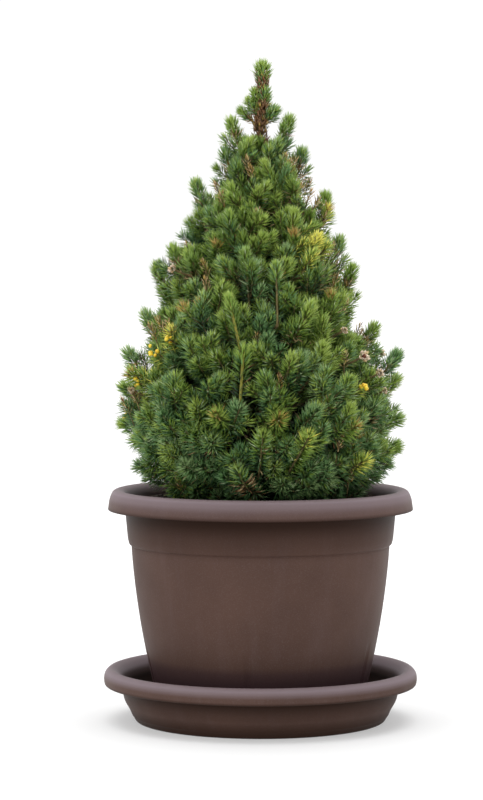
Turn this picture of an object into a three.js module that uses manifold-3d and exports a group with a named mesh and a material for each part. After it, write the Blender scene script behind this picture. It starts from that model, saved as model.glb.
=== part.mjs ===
// A dwarf Alberta spruce in a round plastic patio pot that stands on its saucer.
// Millimetres, +Z up, origin at the centre of the saucer's flat underside. Azimuth 0 is +X, 90 degrees is +Y.
import * as THREE from "three";
import { mergeVertices } from "three/addons/utils/BufferGeometryUtils.js";
import Module from "manifold-3d";

const wasm = await Module();
wasm.setup();

// ---------------------------------------------------------------- driving dimensions

const SEAT_GAP = 0.3; // between pieces that touch
const TURNED_SIDES = 32; // facets round the pot, the saucer and the soil

const SAUCER = {
  baseRadius: 123.4,
  wallRadius: 136.8, // just under its rolled rim
  wallHeight: 29,
  rimRadius: 155.4,
  rimHeight: 41, // of the rim's widest point
  lipHeight: 33.8,
  height: 57,
  thick: 2.6,
};

const POT = {
  baseRadius: 98.4,
  shoulderRadius: 127.9, // under the step of the collar
  shoulderHeight: 173.8,
  collarRadius: 133.7,
  collarHeight: 208,
  lipRadius: 150.4,
  lipHeight: 209.6,
  mouthRadius: 131,
  height: 231.2,
  thick: 2.7,
};
const POT_FLOOR = SAUCER.thick + SEAT_GAP; // height of the pot's underside

const SOIL_EDGE_HEIGHT = 217; // at the wall of the pot
const SOIL_TOP_HEIGHT = 222; // of the flat top of the mound round the trunk
const SOIL_TOP_RADIUS = 24;

const TRUNK = {
  footHeight: SOIL_TOP_HEIGHT + SEAT_GAP,
  tipHeight: 627,
  flareRadius: 15,
  footRadius: 10.5, // above the root flare
  tipRadius: 1.9,
  sway: 3.2, // how far its bends leave the axis
  sides: 8,
};

// The shoots that stand out at the crown's left and right: the height and the reach of each one's tip.
const LEFT_SHOOTS = [
  [240, 110], [254, 123], [295, 142], [335, 138], [369, 126], [408, 116],
  [455, 99], [472, 85], [537, 56], [568, 41], [597, 30],
];
const RIGHT_SHOOTS = [
  [243, 122], [272, 140], [302, 139], [342, 135], [368, 127], [394, 109],
  [453, 87], [481, 76], [524, 61], [568, 40], [599, 30],
];
const SHOOT_SWING = 7; // degrees that these shoots stand off the side, in turn to the front and to the back

// The crown is laid in tiers between rising cones. Each cone has its height at the trunk and its rise for
// each millimetre outwards. A tier has this many masses, the azimuth of its first one, and the rows of its
// sprays, with how many of them stand in each row.
const CONES = [
  { height: 225.5, rise: 0 },
  { height: 241, rise: 0.25 },
  { height: 255, rise: 0.57 },
  { height: 287, rise: 0.9 },
  { height: 335, rise: 1.15 },
  { height: 392, rise: 1.4 },
  { height: 456, rise: 1.7 },
  { height: 548, rise: 2.2 },
];
const TIERS = [
  { name: "skirt", masses: 7, turn: 20, rows: [0.24, 0.78], counts: [2, 3] },
  { name: "low", masses: 7, turn: 56, rows: [0.25, 0.76], counts: [2, 3] },
  { name: "middle", masses: 6, turn: 12, rows: [0.25, 0.76], counts: [3, 2] },
  { name: "upper", masses: 6, turn: 30, rows: [0.25, 0.76], counts: [3, 2] },
  { name: "high", masses: 5, turn: 0, rows: [0.25, 0.76], counts: [3, 2] },
  { name: "shoulder", masses: 4, turn: 30, rows: [0.22, 0.72], counts: [3, 2] },
  { name: "crest", masses: 4, turn: 0, rows: [0.2, 0.5], counts: [3, 1] },
];
const CELL_MARGIN = 2.2; // from a core to the edge of its mass's own space
const NEEDLE_MARGIN = 0.8; // from a needle to that edge
const CORE_LUMP = 12; // from the hollows of a core's face to its lumps
const CORE_WEAR = 5; // the most that a core's edges draw back from that margin

const SPRAY = {
  length: 48, // from its sunk root to its tip
  bare: 28, // of that, what stands out of the core
  radius: 15.5, // to the needle tips
  stem: 1.9,
  lean: 0.82, // how far a needle points forward, against outwards
  apart: 28, // the least distance between two tips
};

// Shoots that stand up round the bare leader: the azimuth and the height of their root, then the reach, the
// height and the radius of each tip.
const LEADER_SHOOTS = [
  { name: "leader_shoot_left", azimuth: 186, root: 588, shoots: [[19, 611, 10], [10, 624, 10]] },
  { name: "leader_shoot_right", azimuth: 350, root: 586, shoots: [[18, 608, 11], [9, 625, 10]] },
  { name: "leader_shoot_back", azimuth: 95, root: 587, shoots: [[15, 612, 11]] },
  { name: "leader_shoot_front", azimuth: 268, root: 580, shoots: [[15, 603, 9]] },
];
const TOP_TUFT = { height: 652, radius: 13 };

const LOW_BOUGH = {
  inner: 4.2, // radius at the trunk
  outer: 2.4, // radius where it enters its mass
  end: 66, // distance of that point from the axis
  height: 233, // at the trunk
  rise: 0.08,
  start: 0.12, // of the way out to its middle, inside the trunk's bark
};

const COLOURS = {
  plastic: 0x5a4741,
  soil: 0x2a211c,
  bark: 0x6d5a41,
  foliage: [0x3f5a2c, 0x4a6a33, 0x54783a, 0x5f8540],
};

// ---------------------------------------------------------------- small tools

const radians = THREE.MathUtils.degToRad;
const lerp = THREE.MathUtils.lerp;

// Numbers from 0 to 1 in a fixed order for each seed.
function seeded(seed) {
  let state = seed >>> 0;
  return () => {
    state = (state + 0x6d2b79f5) >>> 0;
    let t = Math.imul(state ^ (state >>> 15), state | 1);
    t ^= t + Math.imul(t ^ (t >>> 7), t | 61);
    return ((t ^ (t >>> 14)) >>> 0) / 4294967296;
  };
}

const polar = (azimuth, reach, height) =>
  new THREE.Vector3(reach * Math.cos(azimuth), reach * Math.sin(azimuth), height);

// The value at x on a line through [x, value] pairs.
function along(pairs, x) {
  const last = pairs.length - 1;
  if (x <= pairs[0][0]) return pairs[0][1];
  if (x >= pairs[last][0]) return pairs[last][1];
  const i = pairs.findIndex(([at]) => at > x);
  const [x0, v0] = pairs[i - 1];
  const [x1, v1] = pairs[i];
  return lerp(v0, v1, (x - x0) / (x1 - x0));
}

function geometryOf(points, triangles) {
  const geometry = new THREE.BufferGeometry();
  const numbers = points.flatMap((p) => [p.x, p.y, p.z]);
  geometry.setAttribute("position", new THREE.Float32BufferAttribute(numbers, 3));
  geometry.setIndex(triangles);
  return geometry;
}

function solidOf(geometry) {
  const plain = geometry.clone();
  plain.deleteAttribute("normal");
  plain.deleteAttribute("uv");
  const merged = mergeVertices(plain, 1e-4);
  return new wasm.Manifold(
    new wasm.Mesh({
      numProp: 3,
      vertProperties: merged.attributes.position.array,
      triVerts: new Uint32Array(merged.index.array),
    }),
  );
}

function geometryFrom(solid) {
  const mesh = solid.getMesh();
  const geometry = new THREE.BufferGeometry();
  geometry.setAttribute("position", new THREE.BufferAttribute(mesh.vertProperties, 3));
  geometry.setIndex(new THREE.BufferAttribute(mesh.triVerts, 1));
  return geometry;
}

const largestPiece = (solid) => solid.decompose().reduce((a, b) => (b.volume() > a.volume() ? b : a));

// A solid of revolution about Z, from a profile of [radius, height] that starts and ends on the axis.
function turned(profile) {
  const points = profile.map(([radius, height]) => new THREE.Vector2(radius, height));
  return new THREE.LatheGeometry(points, TURNED_SIDES).rotateX(Math.PI / 2);
}

// Two unit vectors square to a direction, the first as level as it can be.
function across(direction) {
  const up = Math.abs(direction.z) > 0.99 ? new THREE.Vector3(1, 0, 0) : new THREE.Vector3(0, 0, 1);
  const side = new THREE.Vector3().crossVectors(up, direction).normalize();
  return [side, new THREE.Vector3().crossVectors(direction, side)];
}

// A tapering limb with flat ends through a row of { at, radius }. Level rings give a trunk its flat cut foot.
function limb(stations, sides, levelRings = false) {
  const points = [];
  const triangles = [];
  stations.forEach(({ at, radius }, i) => {
    const before = stations[Math.max(i - 1, 0)].at;
    const after = stations[Math.min(i + 1, stations.length - 1)].at;
    const direction = levelRings ? new THREE.Vector3(0, 0, 1) : after.clone().sub(before).normalize();
    const [u, v] = across(direction);
    for (let k = 0; k < sides; k++) {
      const turn = (2 * Math.PI * k) / sides;
      const corner = at.clone().addScaledVector(u, radius * Math.cos(turn));
      points.push(corner.addScaledVector(v, radius * Math.sin(turn)));
    }
  });
  for (let i = 0; i + 1 < stations.length; i++) {
    for (let k = 0; k < sides; k++) {
      const a = i * sides + k;
      const b = i * sides + ((k + 1) % sides);
      triangles.push(a, b, a + sides, b, b + sides, a + sides);
    }
  }
  const top = (stations.length - 1) * sides;
  for (let k = 1; k + 1 < sides; k++) triangles.push(0, k + 1, k, top, top + k, top + k + 1);
  return geometryOf(points, triangles);
}

// ---------------------------------------------------------------- saucer, pot and soil

// The saucer's rolled rim is solid.
function saucerProfile() {
  const s = SAUCER;
  return [
    [0, 0],
    [s.baseRadius - 1.5, 0],
    [s.baseRadius + 9, 14],
    [s.wallRadius, s.wallHeight],
    [s.rimRadius - 3, s.lipHeight],
    [s.rimRadius, s.rimHeight],
    [s.rimRadius - 2, s.height - 6.6],
    [s.rimRadius - 8, s.height],
    [s.wallRadius + 4.2, s.height - 1.4],
    [s.wallRadius - s.thick, s.wallHeight],
    [s.baseRadius + 6, 14],
    [s.baseRadius - 3, s.thick],
    [0, s.thick],
  ];
}

// The pot's wall swells a little: a parabola from its foot to its shoulder. "inset" moves it inwards.
function potWall(parts, inset) {
  const foot = POT_FLOOR + 4;
  const middle = (foot + POT.shoulderHeight) / 2;
  const curve = new THREE.QuadraticBezierCurve(
    new THREE.Vector2(POT.baseRadius - inset, foot),
    new THREE.Vector2(POT.shoulderRadius - 6 - inset, middle),
    new THREE.Vector2(POT.shoulderRadius - inset, POT.shoulderHeight),
  );
  return curve.getPoints(parts).map((p) => [p.x, p.y]);
}

function potProfile() {
  const p = POT;
  return [
    [0, POT_FLOOR],
    [p.baseRadius - 4, POT_FLOOR],
    ...potWall(4, 0),
    [p.shoulderRadius + 2.2, p.shoulderHeight + 3.4],
    [p.collarRadius, p.collarHeight],
    [p.collarRadius + 0.7, p.height - 9],
    [p.lipRadius - 5.4, p.height - 11],
    [p.lipRadius - p.thick, p.lipHeight],
    [p.lipRadius, p.lipHeight],
    [p.lipRadius - 1, p.lipHeight + 9.4],
    [p.lipRadius - 5, p.height - 4.2],
    [p.lipRadius - 12.4, p.height],
    [p.mouthRadius + 1.8, p.height - 1.6],
    [p.mouthRadius, p.height - 5.7],
    ...potWall(2, p.thick).reverse(),
    [p.baseRadius - p.thick - 2, POT_FLOOR + p.thick],
    [0, POT_FLOOR + p.thick],
  ];
}

// The soil fills the pot to just under its mouth, and mounds a little towards the trunk.
function soilProfile() {
  const inset = POT.thick + SEAT_GAP + 0.2;
  const innerWall = [[POT.shoulderHeight, POT.shoulderRadius - POT.thick], [POT.height, POT.mouthRadius]];
  const wallAtEdge = along(innerWall, SOIL_EDGE_HEIGHT) - SEAT_GAP - 0.4;
  return [
    [0, POT_FLOOR + POT.thick + SEAT_GAP],
    [POT.baseRadius - inset - 2.4, POT_FLOOR + POT.thick + SEAT_GAP],
    ...potWall(2, inset),
    [wallAtEdge, SOIL_EDGE_HEIGHT],
    [SOIL_TOP_RADIUS, SOIL_TOP_HEIGHT],
    [0, SOIL_TOP_HEIGHT],
  ];
}

// ---------------------------------------------------------------- trunk

// The trunk's middle line: it bends twice, and its tip stands over its foot.
function trunkAt(height) {
  const t = (height - TRUNK.footHeight) / (TRUNK.tipHeight - TRUNK.footHeight);
  const bend = TRUNK.sway * Math.sin(2 * Math.PI * t) * (1 - t / 2);
  return new THREE.Vector3(bend + 1.4 * t, -0.6 * bend, height);
}

function trunkRadius(height) {
  const { footHeight, tipHeight, flareRadius, footRadius, tipRadius } = TRUNK;
  const up = (height - footHeight) / (tipHeight - footHeight);
  const flare = Math.max(0, 1 - (height - footHeight) / 16) ** 2;
  return lerp(footRadius, tipRadius, up) + (flareRadius - footRadius) * flare;
}

const TRUNK_RINGS = [0, 6, 16, 60, 120, 190, 260, 330, TRUNK.tipHeight - TRUNK.footHeight];

// "grow" makes the sleeve that keeps other pieces clear of the trunk.
function trunkGeometry(grow = 0) {
  const stations = TRUNK_RINGS.map((rise) => {
    const height = TRUNK.footHeight + rise;
    return { at: trunkAt(height), radius: trunkRadius(height) + grow };
  });
  if (grow) {
    stations[0].at.z -= grow;
    stations[stations.length - 1].at.z += grow;
  }
  return limb(stations, TRUNK.sides, true);
}

// The faces of a ring lie inside its corners' circle, so the sleeve grows by a little more than the gap.
const TRUNK_SLEEVE = solidOf(trunkGeometry(SEAT_GAP / Math.cos(Math.PI / TRUNK.sides)));

// ---------------------------------------------------------------- the crown's rule

// How far the shoot tips reach at a height: the reach on both sides, blended round the crown.
function crownReach(height, azimuth) {
  const right = (1 + Math.cos(azimuth)) / 2;
  return lerp(along(LEFT_SHOOTS, height), along(RIGHT_SHOOTS, height), right);
}

const coneHeight = (cone, reach) => cone.height + cone.rise * reach;

// The space of one mass: its tier, and the wedge of azimuths that it takes.
function cellOf(tier, index) {
  const { masses, turn } = TIERS[tier];
  const width = (2 * Math.PI) / masses;
  return { tier, index, width, middle: radians(turn) + index * width };
}

// The turn from a cell's middle to an azimuth, between half a turn either way.
function swingIn(cell, azimuth) {
  const turns = (azimuth - cell.middle) / (2 * Math.PI);
  return 2 * Math.PI * (turns - Math.round(turns));
}

function isInside(cell, point, margin) {
  const reach = Math.hypot(point.x, point.y);
  const swing = swingIn(cell, Math.atan2(point.y, point.x));
  const lower = CONES[cell.tier];
  const upper = CONES[cell.tier + 1];
  return (
    point.z > coneHeight(lower, reach) + margin * Math.hypot(1, lower.rise) &&
    point.z < coneHeight(upper, reach) - margin * Math.hypot(1, upper.rise) &&
    reach * (cell.width / 2 - Math.abs(swing)) > margin
  );
}

// The tip of a shoot in a tier, "up" of the way from its lower cone to its upper one.
function tipIn(tier, up, azimuth) {
  const heightAt = (reach) => lerp(coneHeight(CONES[tier], reach), coneHeight(CONES[tier + 1], reach), up);
  let reach = 100;
  for (let i = 0; i < 16; i++) reach = lerp(reach, crownReach(heightAt(reach), azimuth), 0.5);
  return { reach, height: heightAt(reach) };
}

// How far a point in a tier stands between its two cones, and how steeply the shoots rise there.
function upIn(tier, reach, height) {
  const low = coneHeight(CONES[tier], reach);
  return (height - low) / (coneHeight(CONES[tier + 1], reach) - low);
}
const riseIn = (tier, up) => lerp(CONES[tier].rise, CONES[tier + 1].rise, up);

// The shoots that stand out at the sides, as those of them that belong to a cell.
function sideShoots(cell) {
  const found = [];
  for (const [side, shoots] of [[0, RIGHT_SHOOTS], [Math.PI, LEFT_SHOOTS]]) {
    shoots.forEach(([height, reach], i) => {
      const azimuth = side + radians(i % 2 ? SHOOT_SWING : -SHOOT_SWING);
      const up = upIn(cell.tier, reach, height);
      if (up <= 0 || up > 1 || Math.abs(swingIn(cell, azimuth)) > cell.width / 2) return;
      found.push({ azimuth, reach, height, rise: riseIn(cell.tier, up), twist: 0.1 * i });
    });
  }
  return found;
}

const tipOf = (shoot) => polar(shoot.azimuth, shoot.reach, shoot.height);

// Where a shoot is rooted: back along its tier's rise, and drawn in from the edges of its cell.
function rootOf(cell, shoot) {
  const { tier, width, middle } = cell;
  const least = tier === 0 ? LOW_BOUGH.end + 8 : 0;
  const reach = Math.max(shoot.reach - SPRAY.length / Math.hypot(1, shoot.rise), least);
  const up = THREE.MathUtils.clamp(upIn(tier, shoot.reach, shoot.height), 0.22, 0.78);
  const most = Math.max(width / 2 - 11 / reach, 0);
  const swing = THREE.MathUtils.clamp(swingIn(cell, shoot.azimuth), -most, most);
  const height = lerp(coneHeight(CONES[tier], reach), coneHeight(CONES[tier + 1], reach), up);
  return polar(middle + swing, reach, height);
}

// The sprays of one mass: the shoots that stand out, then rows whose tips lie just within the crown's reach.
function spraysOf(cell) {
  const { rows, counts } = TIERS[cell.tier];
  const draw = seeded(1000 * (cell.tier + 1) + cell.index);
  const sprays = sideShoots(cell);
  rows.forEach((row, r) => {
    for (let c = 0; c < counts[r]; c++) {
      const up = row + 0.1 * (draw() - 0.5);
      const place = (c + 0.5 + 0.3 * (draw() - 0.5)) / counts[r] - 0.5;
      const azimuth = cell.middle + place * cell.width;
      const tip = tipIn(cell.tier, up, azimuth);
      const reach = tip.reach - 7 * draw();
      const shoot = { azimuth, reach, height: tip.height, rise: riseIn(cell.tier, up), twist: draw() };
      const near = sprays.some((other) => tipOf(other).distanceTo(tipOf(shoot)) < SPRAY.apart);
      if (!near) sprays.push(shoot);
    }
  });
  return sprays;
}

// ---------------------------------------------------------------- foliage solids

// A spray of needles: a slim three-sided stem whose faces above its sunk root are each drawn out to a needle.
// A needle that doesn't fit its mass's own space is shortened, or else left out.
function spray(root, tip, { bare, radius, twist, fits = () => true }) {
  const length = tip.distanceTo(root);
  const direction = tip.clone().sub(root).normalize();
  const [u, v] = across(direction);
  const points = [root];
  const triangles = [];
  [0, 0.52].forEach((part, i) => {
    const at = root.clone().addScaledVector(direction, length - bare * (1 - part));
    for (let k = 0; k < 3; k++) {
      const turn = 2 * Math.PI * (twist + k / 3 + i / 6);
      points.push(at.clone().addScaledVector(u, SPRAY.stem * Math.cos(turn))
        .addScaledVector(v, SPRAY.stem * Math.sin(turn)));
    }
  });
  const apex = points.push(root.clone().addScaledVector(direction, length - 0.07 * bare)) - 1;
  const ring = (i, k) => 1 + 3 * i + (k % 3);
  const needle = (a, b, c, reach) => {
    const middle = points[a].clone().add(points[b]).add(points[c]).divideScalar(3);
    const on = middle.clone().sub(root).dot(direction);
    const out = middle.clone().sub(root).addScaledVector(direction, -on).normalize();
    const pointAt = (part) => middle.clone().addScaledVector(out, reach * part)
      .addScaledVector(direction, reach * part * SPRAY.lean);
    const point = [1, 0.6].map(pointAt).find(fits);
    if (!point) {
      triangles.push(a, b, c);
      return;
    }
    const p = points.push(point) - 1;
    triangles.push(a, b, p, b, c, p, c, a, p);
  };
  for (let k = 0; k < 3; k++) {
    triangles.push(0, ring(0, k + 1), ring(0, k));
    // The second ring stands half a step on from the first, so each of its corners is over an edge.
    needle(ring(0, k), ring(0, k + 1), ring(1, k), radius - SPRAY.stem);
    needle(ring(0, k + 1), ring(1, k + 1), ring(1, k), radius - SPRAY.stem);
    needle(ring(1, k), ring(1, k + 1), apex, (radius - SPRAY.stem) * 0.7);
  }
  return solidOf(geometryOf(points, triangles));
}

// The dense inside of a mass: a wedge of its tier, lumpy on its outer face, where the sprays come out of it,
// and drawn back unevenly from the edges of its own space.
function core(cell) {
  const { tier, width, middle } = cell;
  const draw = seeded(7000 * (tier + 1) + cell.index);
  const columns = 4;
  const levels = 2;
  const points = [];
  const edge = () => CELL_MARGIN + CORE_WEAR * draw();
  for (const outer of [false, true]) {
    for (let j = 0; j <= levels; j++) {
      for (let i = 0; i <= columns; i++) {
        const up = j / levels;
        const place = 2 * (i / columns) - 1; // from one side of the wedge to the other, -1 to 1
        const face = coreFace(tier, up, middle + (place * width) / 2);
        const lump = CORE_LUMP * ((i + j) % 2 ? 0.1 + 0.3 * draw() : -0.3 - 0.3 * draw());
        const reach = outer ? face + lump : coreInside(tier, face);
        const azimuth = middle + place * (width / 2 - edge() / reach);
        const low = coneHeight(CONES[tier], reach) + edge() * Math.hypot(1, CONES[tier].rise);
        const high = coneHeight(CONES[tier + 1], reach) - edge() * Math.hypot(1, CONES[tier + 1].rise);
        points.push(polar(azimuth, reach, lerp(low, high, up)));
      }
    }
  }
  return solidOf(geometryOf(points, gridShell(columns, levels)));
}

// How far from the axis a core's face lies, before it is made lumpy.
function coreFace(tier, up, azimuth) {
  return tipIn(tier, up, azimuth).reach - SPRAY.bare / Math.hypot(1, riseIn(tier, up));
}

// How far from the axis a core begins: past its bough's end in the skirt, and beside the trunk above it.
function coreInside(tier, face) {
  if (tier === 0) return LOW_BOUGH.end + 5;
  return Math.max(0.3 * face, trunkRadius(CONES[tier].height) + 3);
}

// The faces of a closed block between two grids of points, the inner one first.
function gridShell(columns, levels) {
  const triangles = [];
  const at = (outer, i, j) => (outer * (levels + 1) + j) * (columns + 1) + i;
  const quad = (a, b, c, d) => triangles.push(a, b, c, a, c, d);
  for (let j = 0; j < levels; j++) {
    for (let i = 0; i < columns; i++) {
      quad(at(1, i, j), at(1, i + 1, j), at(1, i + 1, j + 1), at(1, i, j + 1));
      quad(at(0, i, j), at(0, i, j + 1), at(0, i + 1, j + 1), at(0, i + 1, j));
    }
    quad(at(0, 0, j), at(1, 0, j), at(1, 0, j + 1), at(0, 0, j + 1));
    quad(at(0, columns, j), at(0, columns, j + 1), at(1, columns, j + 1), at(1, columns, j));
  }
  for (let i = 0; i < columns; i++) {
    quad(at(0, i, 0), at(0, i + 1, 0), at(1, i + 1, 0), at(1, i, 0));
    quad(at(0, i, levels), at(1, i, levels), at(1, i + 1, levels), at(0, i + 1, levels));
  }
  return triangles;
}

// Whether a needle's point stands out of the core's face, and so shows.
function isProud(tier, point) {
  const reach = Math.hypot(point.x, point.y);
  return reach > coreFace(tier, upIn(tier, reach, point.z), Math.atan2(point.y, point.x)) + CORE_LUMP / 2;
}

// One connected solid, cut clear of the trunk.
const joined = (solids) => largestPiece(wasm.Manifold.union(solids).subtract(TRUNK_SLEEVE));

// ---------------------------------------------------------------- the assembly

const plant = new THREE.Group();

function material(colour, roughness) {
  return new THREE.MeshStandardMaterial({ color: colour, roughness, metalness: 0 });
}

function addNode(name, geometry, colour, roughness = 0.8) {
  const mesh = new THREE.Mesh(geometry, material(colour, roughness));
  mesh.name = name;
  plant.add(mesh);
}

const letter = (index) => String.fromCharCode("a".charCodeAt(0) + index);

// The bough of a skirt mass, from the trunk to where it enters the mass.
function lowBough(cell) {
  const foot = trunkAt(LOW_BOUGH.height);
  const end = polar(cell.middle, LOW_BOUGH.end, LOW_BOUGH.height + LOW_BOUGH.rise * LOW_BOUGH.end);
  const middle = foot.clone().lerp(end, 0.5).add(new THREE.Vector3(0, 0, -1.5));
  return {
    end,
    direction: end.clone().sub(middle).normalize(),
    geometry: limb([
      { at: foot.clone().lerp(middle, LOW_BOUGH.start), radius: LOW_BOUGH.inner },
      { at: middle, radius: (LOW_BOUGH.inner + LOW_BOUGH.outer) / 2 },
      { at: end, radius: LOW_BOUGH.outer },
    ], 6),
  };
}

// The stem of a mass runs into its core, from its bough's tip in the skirt and from the trunk above it.
function massStem(cell) {
  const { tier, middle } = cell;
  const tip = tipIn(tier, 0.5, middle);
  const level = Math.hypot(1, riseIn(tier, 0.5));
  const inner = tip.reach - SPRAY.length / level;
  const height = lerp(coneHeight(CONES[tier], inner), coneHeight(CONES[tier + 1], inner), 0.5);
  const end = polar(middle, inner, height);
  if (tier === 0) {
    const bough = lowBough(cell);
    const start = bough.end.clone().addScaledVector(bough.direction, SEAT_GAP);
    return limb([
      { at: start, radius: LOW_BOUGH.outer },
      { at: start.clone().addScaledVector(bough.direction, 8), radius: LOW_BOUGH.outer },
      { at: end, radius: 1.6 },
    ], 6);
  }
  const foot = trunkAt(lerp(CONES[tier].height, CONES[tier + 1].height, 0.45) + 6);
  return limb([{ at: foot, radius: 3.4 - 0.25 * tier }, { at: end, radius: 1.4 }], 6);
}

function tierMass(cell) {
  const solids = [solidOf(massStem(cell)), core(cell)];
  const fits = (point) => isInside(cell, point, NEEDLE_MARGIN) && isProud(cell.tier, point);
  for (const shoot of spraysOf(cell)) {
    solids.push(spray(rootOf(cell, shoot), tipOf(shoot), { ...SPRAY, twist: shoot.twist, fits }));
  }
  return joined(solids);
}

// A free-standing group of shoots at the leader: one stem from the trunk that parts into its shoots.
function standingShoots({ azimuth, root, shoots }) {
  const angle = radians(azimuth);
  const foot = trunkAt(root);
  const fork = foot.clone().lerp(polar(angle, shoots[0][0], shoots[0][1]), 0.4);
  const solids = [solidOf(limb([{ at: foot, radius: 1.4 }, { at: fork, radius: 1.2 }], 5))];
  shoots.forEach(([reach, height, radius], i) => {
    const tip = polar(angle + 0.25 * i, reach, height);
    const direction = tip.clone().sub(fork).normalize();
    const start = fork.clone().addScaledVector(direction, -1.5);
    const bare = Math.min(2 * radius, tip.distanceTo(fork));
    solids.push(spray(start, tip, { bare, radius, twist: 0.17 * i }));
  });
  return joined(solids);
}

// The tuft at the very top stands on the trunk's tip.
function topTuft() {
  const foot = trunkAt(TRUNK.tipHeight);
  foot.z += SEAT_GAP;
  const root = new THREE.Vector3(foot.x, foot.y, foot.z + 1);
  const tip = new THREE.Vector3(foot.x, foot.y, TOP_TUFT.height);
  const collar = new THREE.Vector3(foot.x, foot.y, foot.z + 4);
  return joined([
    solidOf(limb([{ at: foot, radius: TRUNK.tipRadius }, { at: collar, radius: 1.4 }], 6)),
    spray(root, tip, { bare: TOP_TUFT.height - foot.z - 3, radius: TOP_TUFT.radius, twist: 0.1 }),
  ]);
}

addNode("saucer", turned(saucerProfile()), COLOURS.plastic, 0.55);
addNode("pot", turned(potProfile()), COLOURS.plastic, 0.55);
addNode("soil", turned(soilProfile()), COLOURS.soil, 1);
addNode("trunk", trunkGeometry(), COLOURS.bark);
TIERS.forEach(({ name, masses }, tier) => {
  for (let i = 0; i < masses; i++) {
    const cell = cellOf(tier, i);
    const tint = COLOURS.foliage[(tier + i) % COLOURS.foliage.length];
    const bough = () => geometryFrom(joined([solidOf(lowBough(cell).geometry)]));
    if (tier === 0) addNode("low_bough_" + letter(i), bough(), COLOURS.bark);
    addNode("foliage_" + name + "_" + letter(i), geometryFrom(tierMass(cell)), tint);
  }
});
for (const group of LEADER_SHOOTS) {
  addNode(group.name, geometryFrom(standingShoots(group)), COLOURS.foliage[2]);
}
addNode("top_tuft", geometryFrom(topTuft()), COLOURS.foliage[3]);

export default plant;
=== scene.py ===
"""A dwarf Alberta spruce in a brown plastic pot on its saucer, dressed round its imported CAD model.

Named sizes and places are millimetres in the CAD model's frame: +Z up, origin under the middle of the saucer,
-Y towards the camera. Azimuth 0 is +X and 90 degrees is +Y. The meshes are made in metres.
"""

import math

import bpy
import numpy as np
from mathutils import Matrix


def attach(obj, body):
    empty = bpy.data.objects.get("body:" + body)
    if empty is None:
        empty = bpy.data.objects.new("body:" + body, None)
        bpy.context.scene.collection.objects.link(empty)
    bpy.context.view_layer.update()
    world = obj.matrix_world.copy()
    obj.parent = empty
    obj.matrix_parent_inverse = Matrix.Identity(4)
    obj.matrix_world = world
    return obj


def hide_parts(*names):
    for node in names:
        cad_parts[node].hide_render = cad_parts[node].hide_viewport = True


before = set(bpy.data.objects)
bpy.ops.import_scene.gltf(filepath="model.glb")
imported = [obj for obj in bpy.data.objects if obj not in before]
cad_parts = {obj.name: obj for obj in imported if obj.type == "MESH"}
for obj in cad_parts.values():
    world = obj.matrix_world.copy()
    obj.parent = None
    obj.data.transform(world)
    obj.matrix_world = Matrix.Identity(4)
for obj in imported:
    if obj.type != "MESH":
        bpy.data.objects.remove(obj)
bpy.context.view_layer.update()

MM = 0.001
UP = np.array([0.0, 0.0, 1.0])
rng = np.random.default_rng(924)

# ---- camera

CAMERA_DISTANCE = 2900
CAMERA_HEIGHT = 458
CAMERA_TILT = 0.04845  # radians down
CAMERA_PAN = -0.00648  # radians, so that the pot stands a little right of the middle
CAMERA_LENS = 132.2
CAMERA_SENSOR = 36  # along the picture's long side


def add_object(name, data):
    made = bpy.data.objects.new(name, data)
    bpy.context.scene.collection.objects.link(made)
    return made


def add_camera():
    camera = add_object("camera", bpy.data.cameras.new("camera"))
    camera.location = (0, -CAMERA_DISTANCE * MM, CAMERA_HEIGHT * MM)
    camera.rotation_euler = (math.pi / 2 - CAMERA_TILT, 0, -CAMERA_PAN)
    camera.data.lens = CAMERA_LENS
    camera.data.sensor_width = CAMERA_SENSOR
    camera.data.clip_end = 50
    bpy.context.scene.camera = camera


# ---- materials


def linear(r, g, b):
    """A colour of the screen, 0 to 255, as the linear colour that shaders take."""
    shares = [c / 255 for c in (r, g, b)]
    return (*[c / 12.92 if c <= 0.04045 else ((c + 0.055) / 1.055) ** 2.4 for c in shares], 1)


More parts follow.
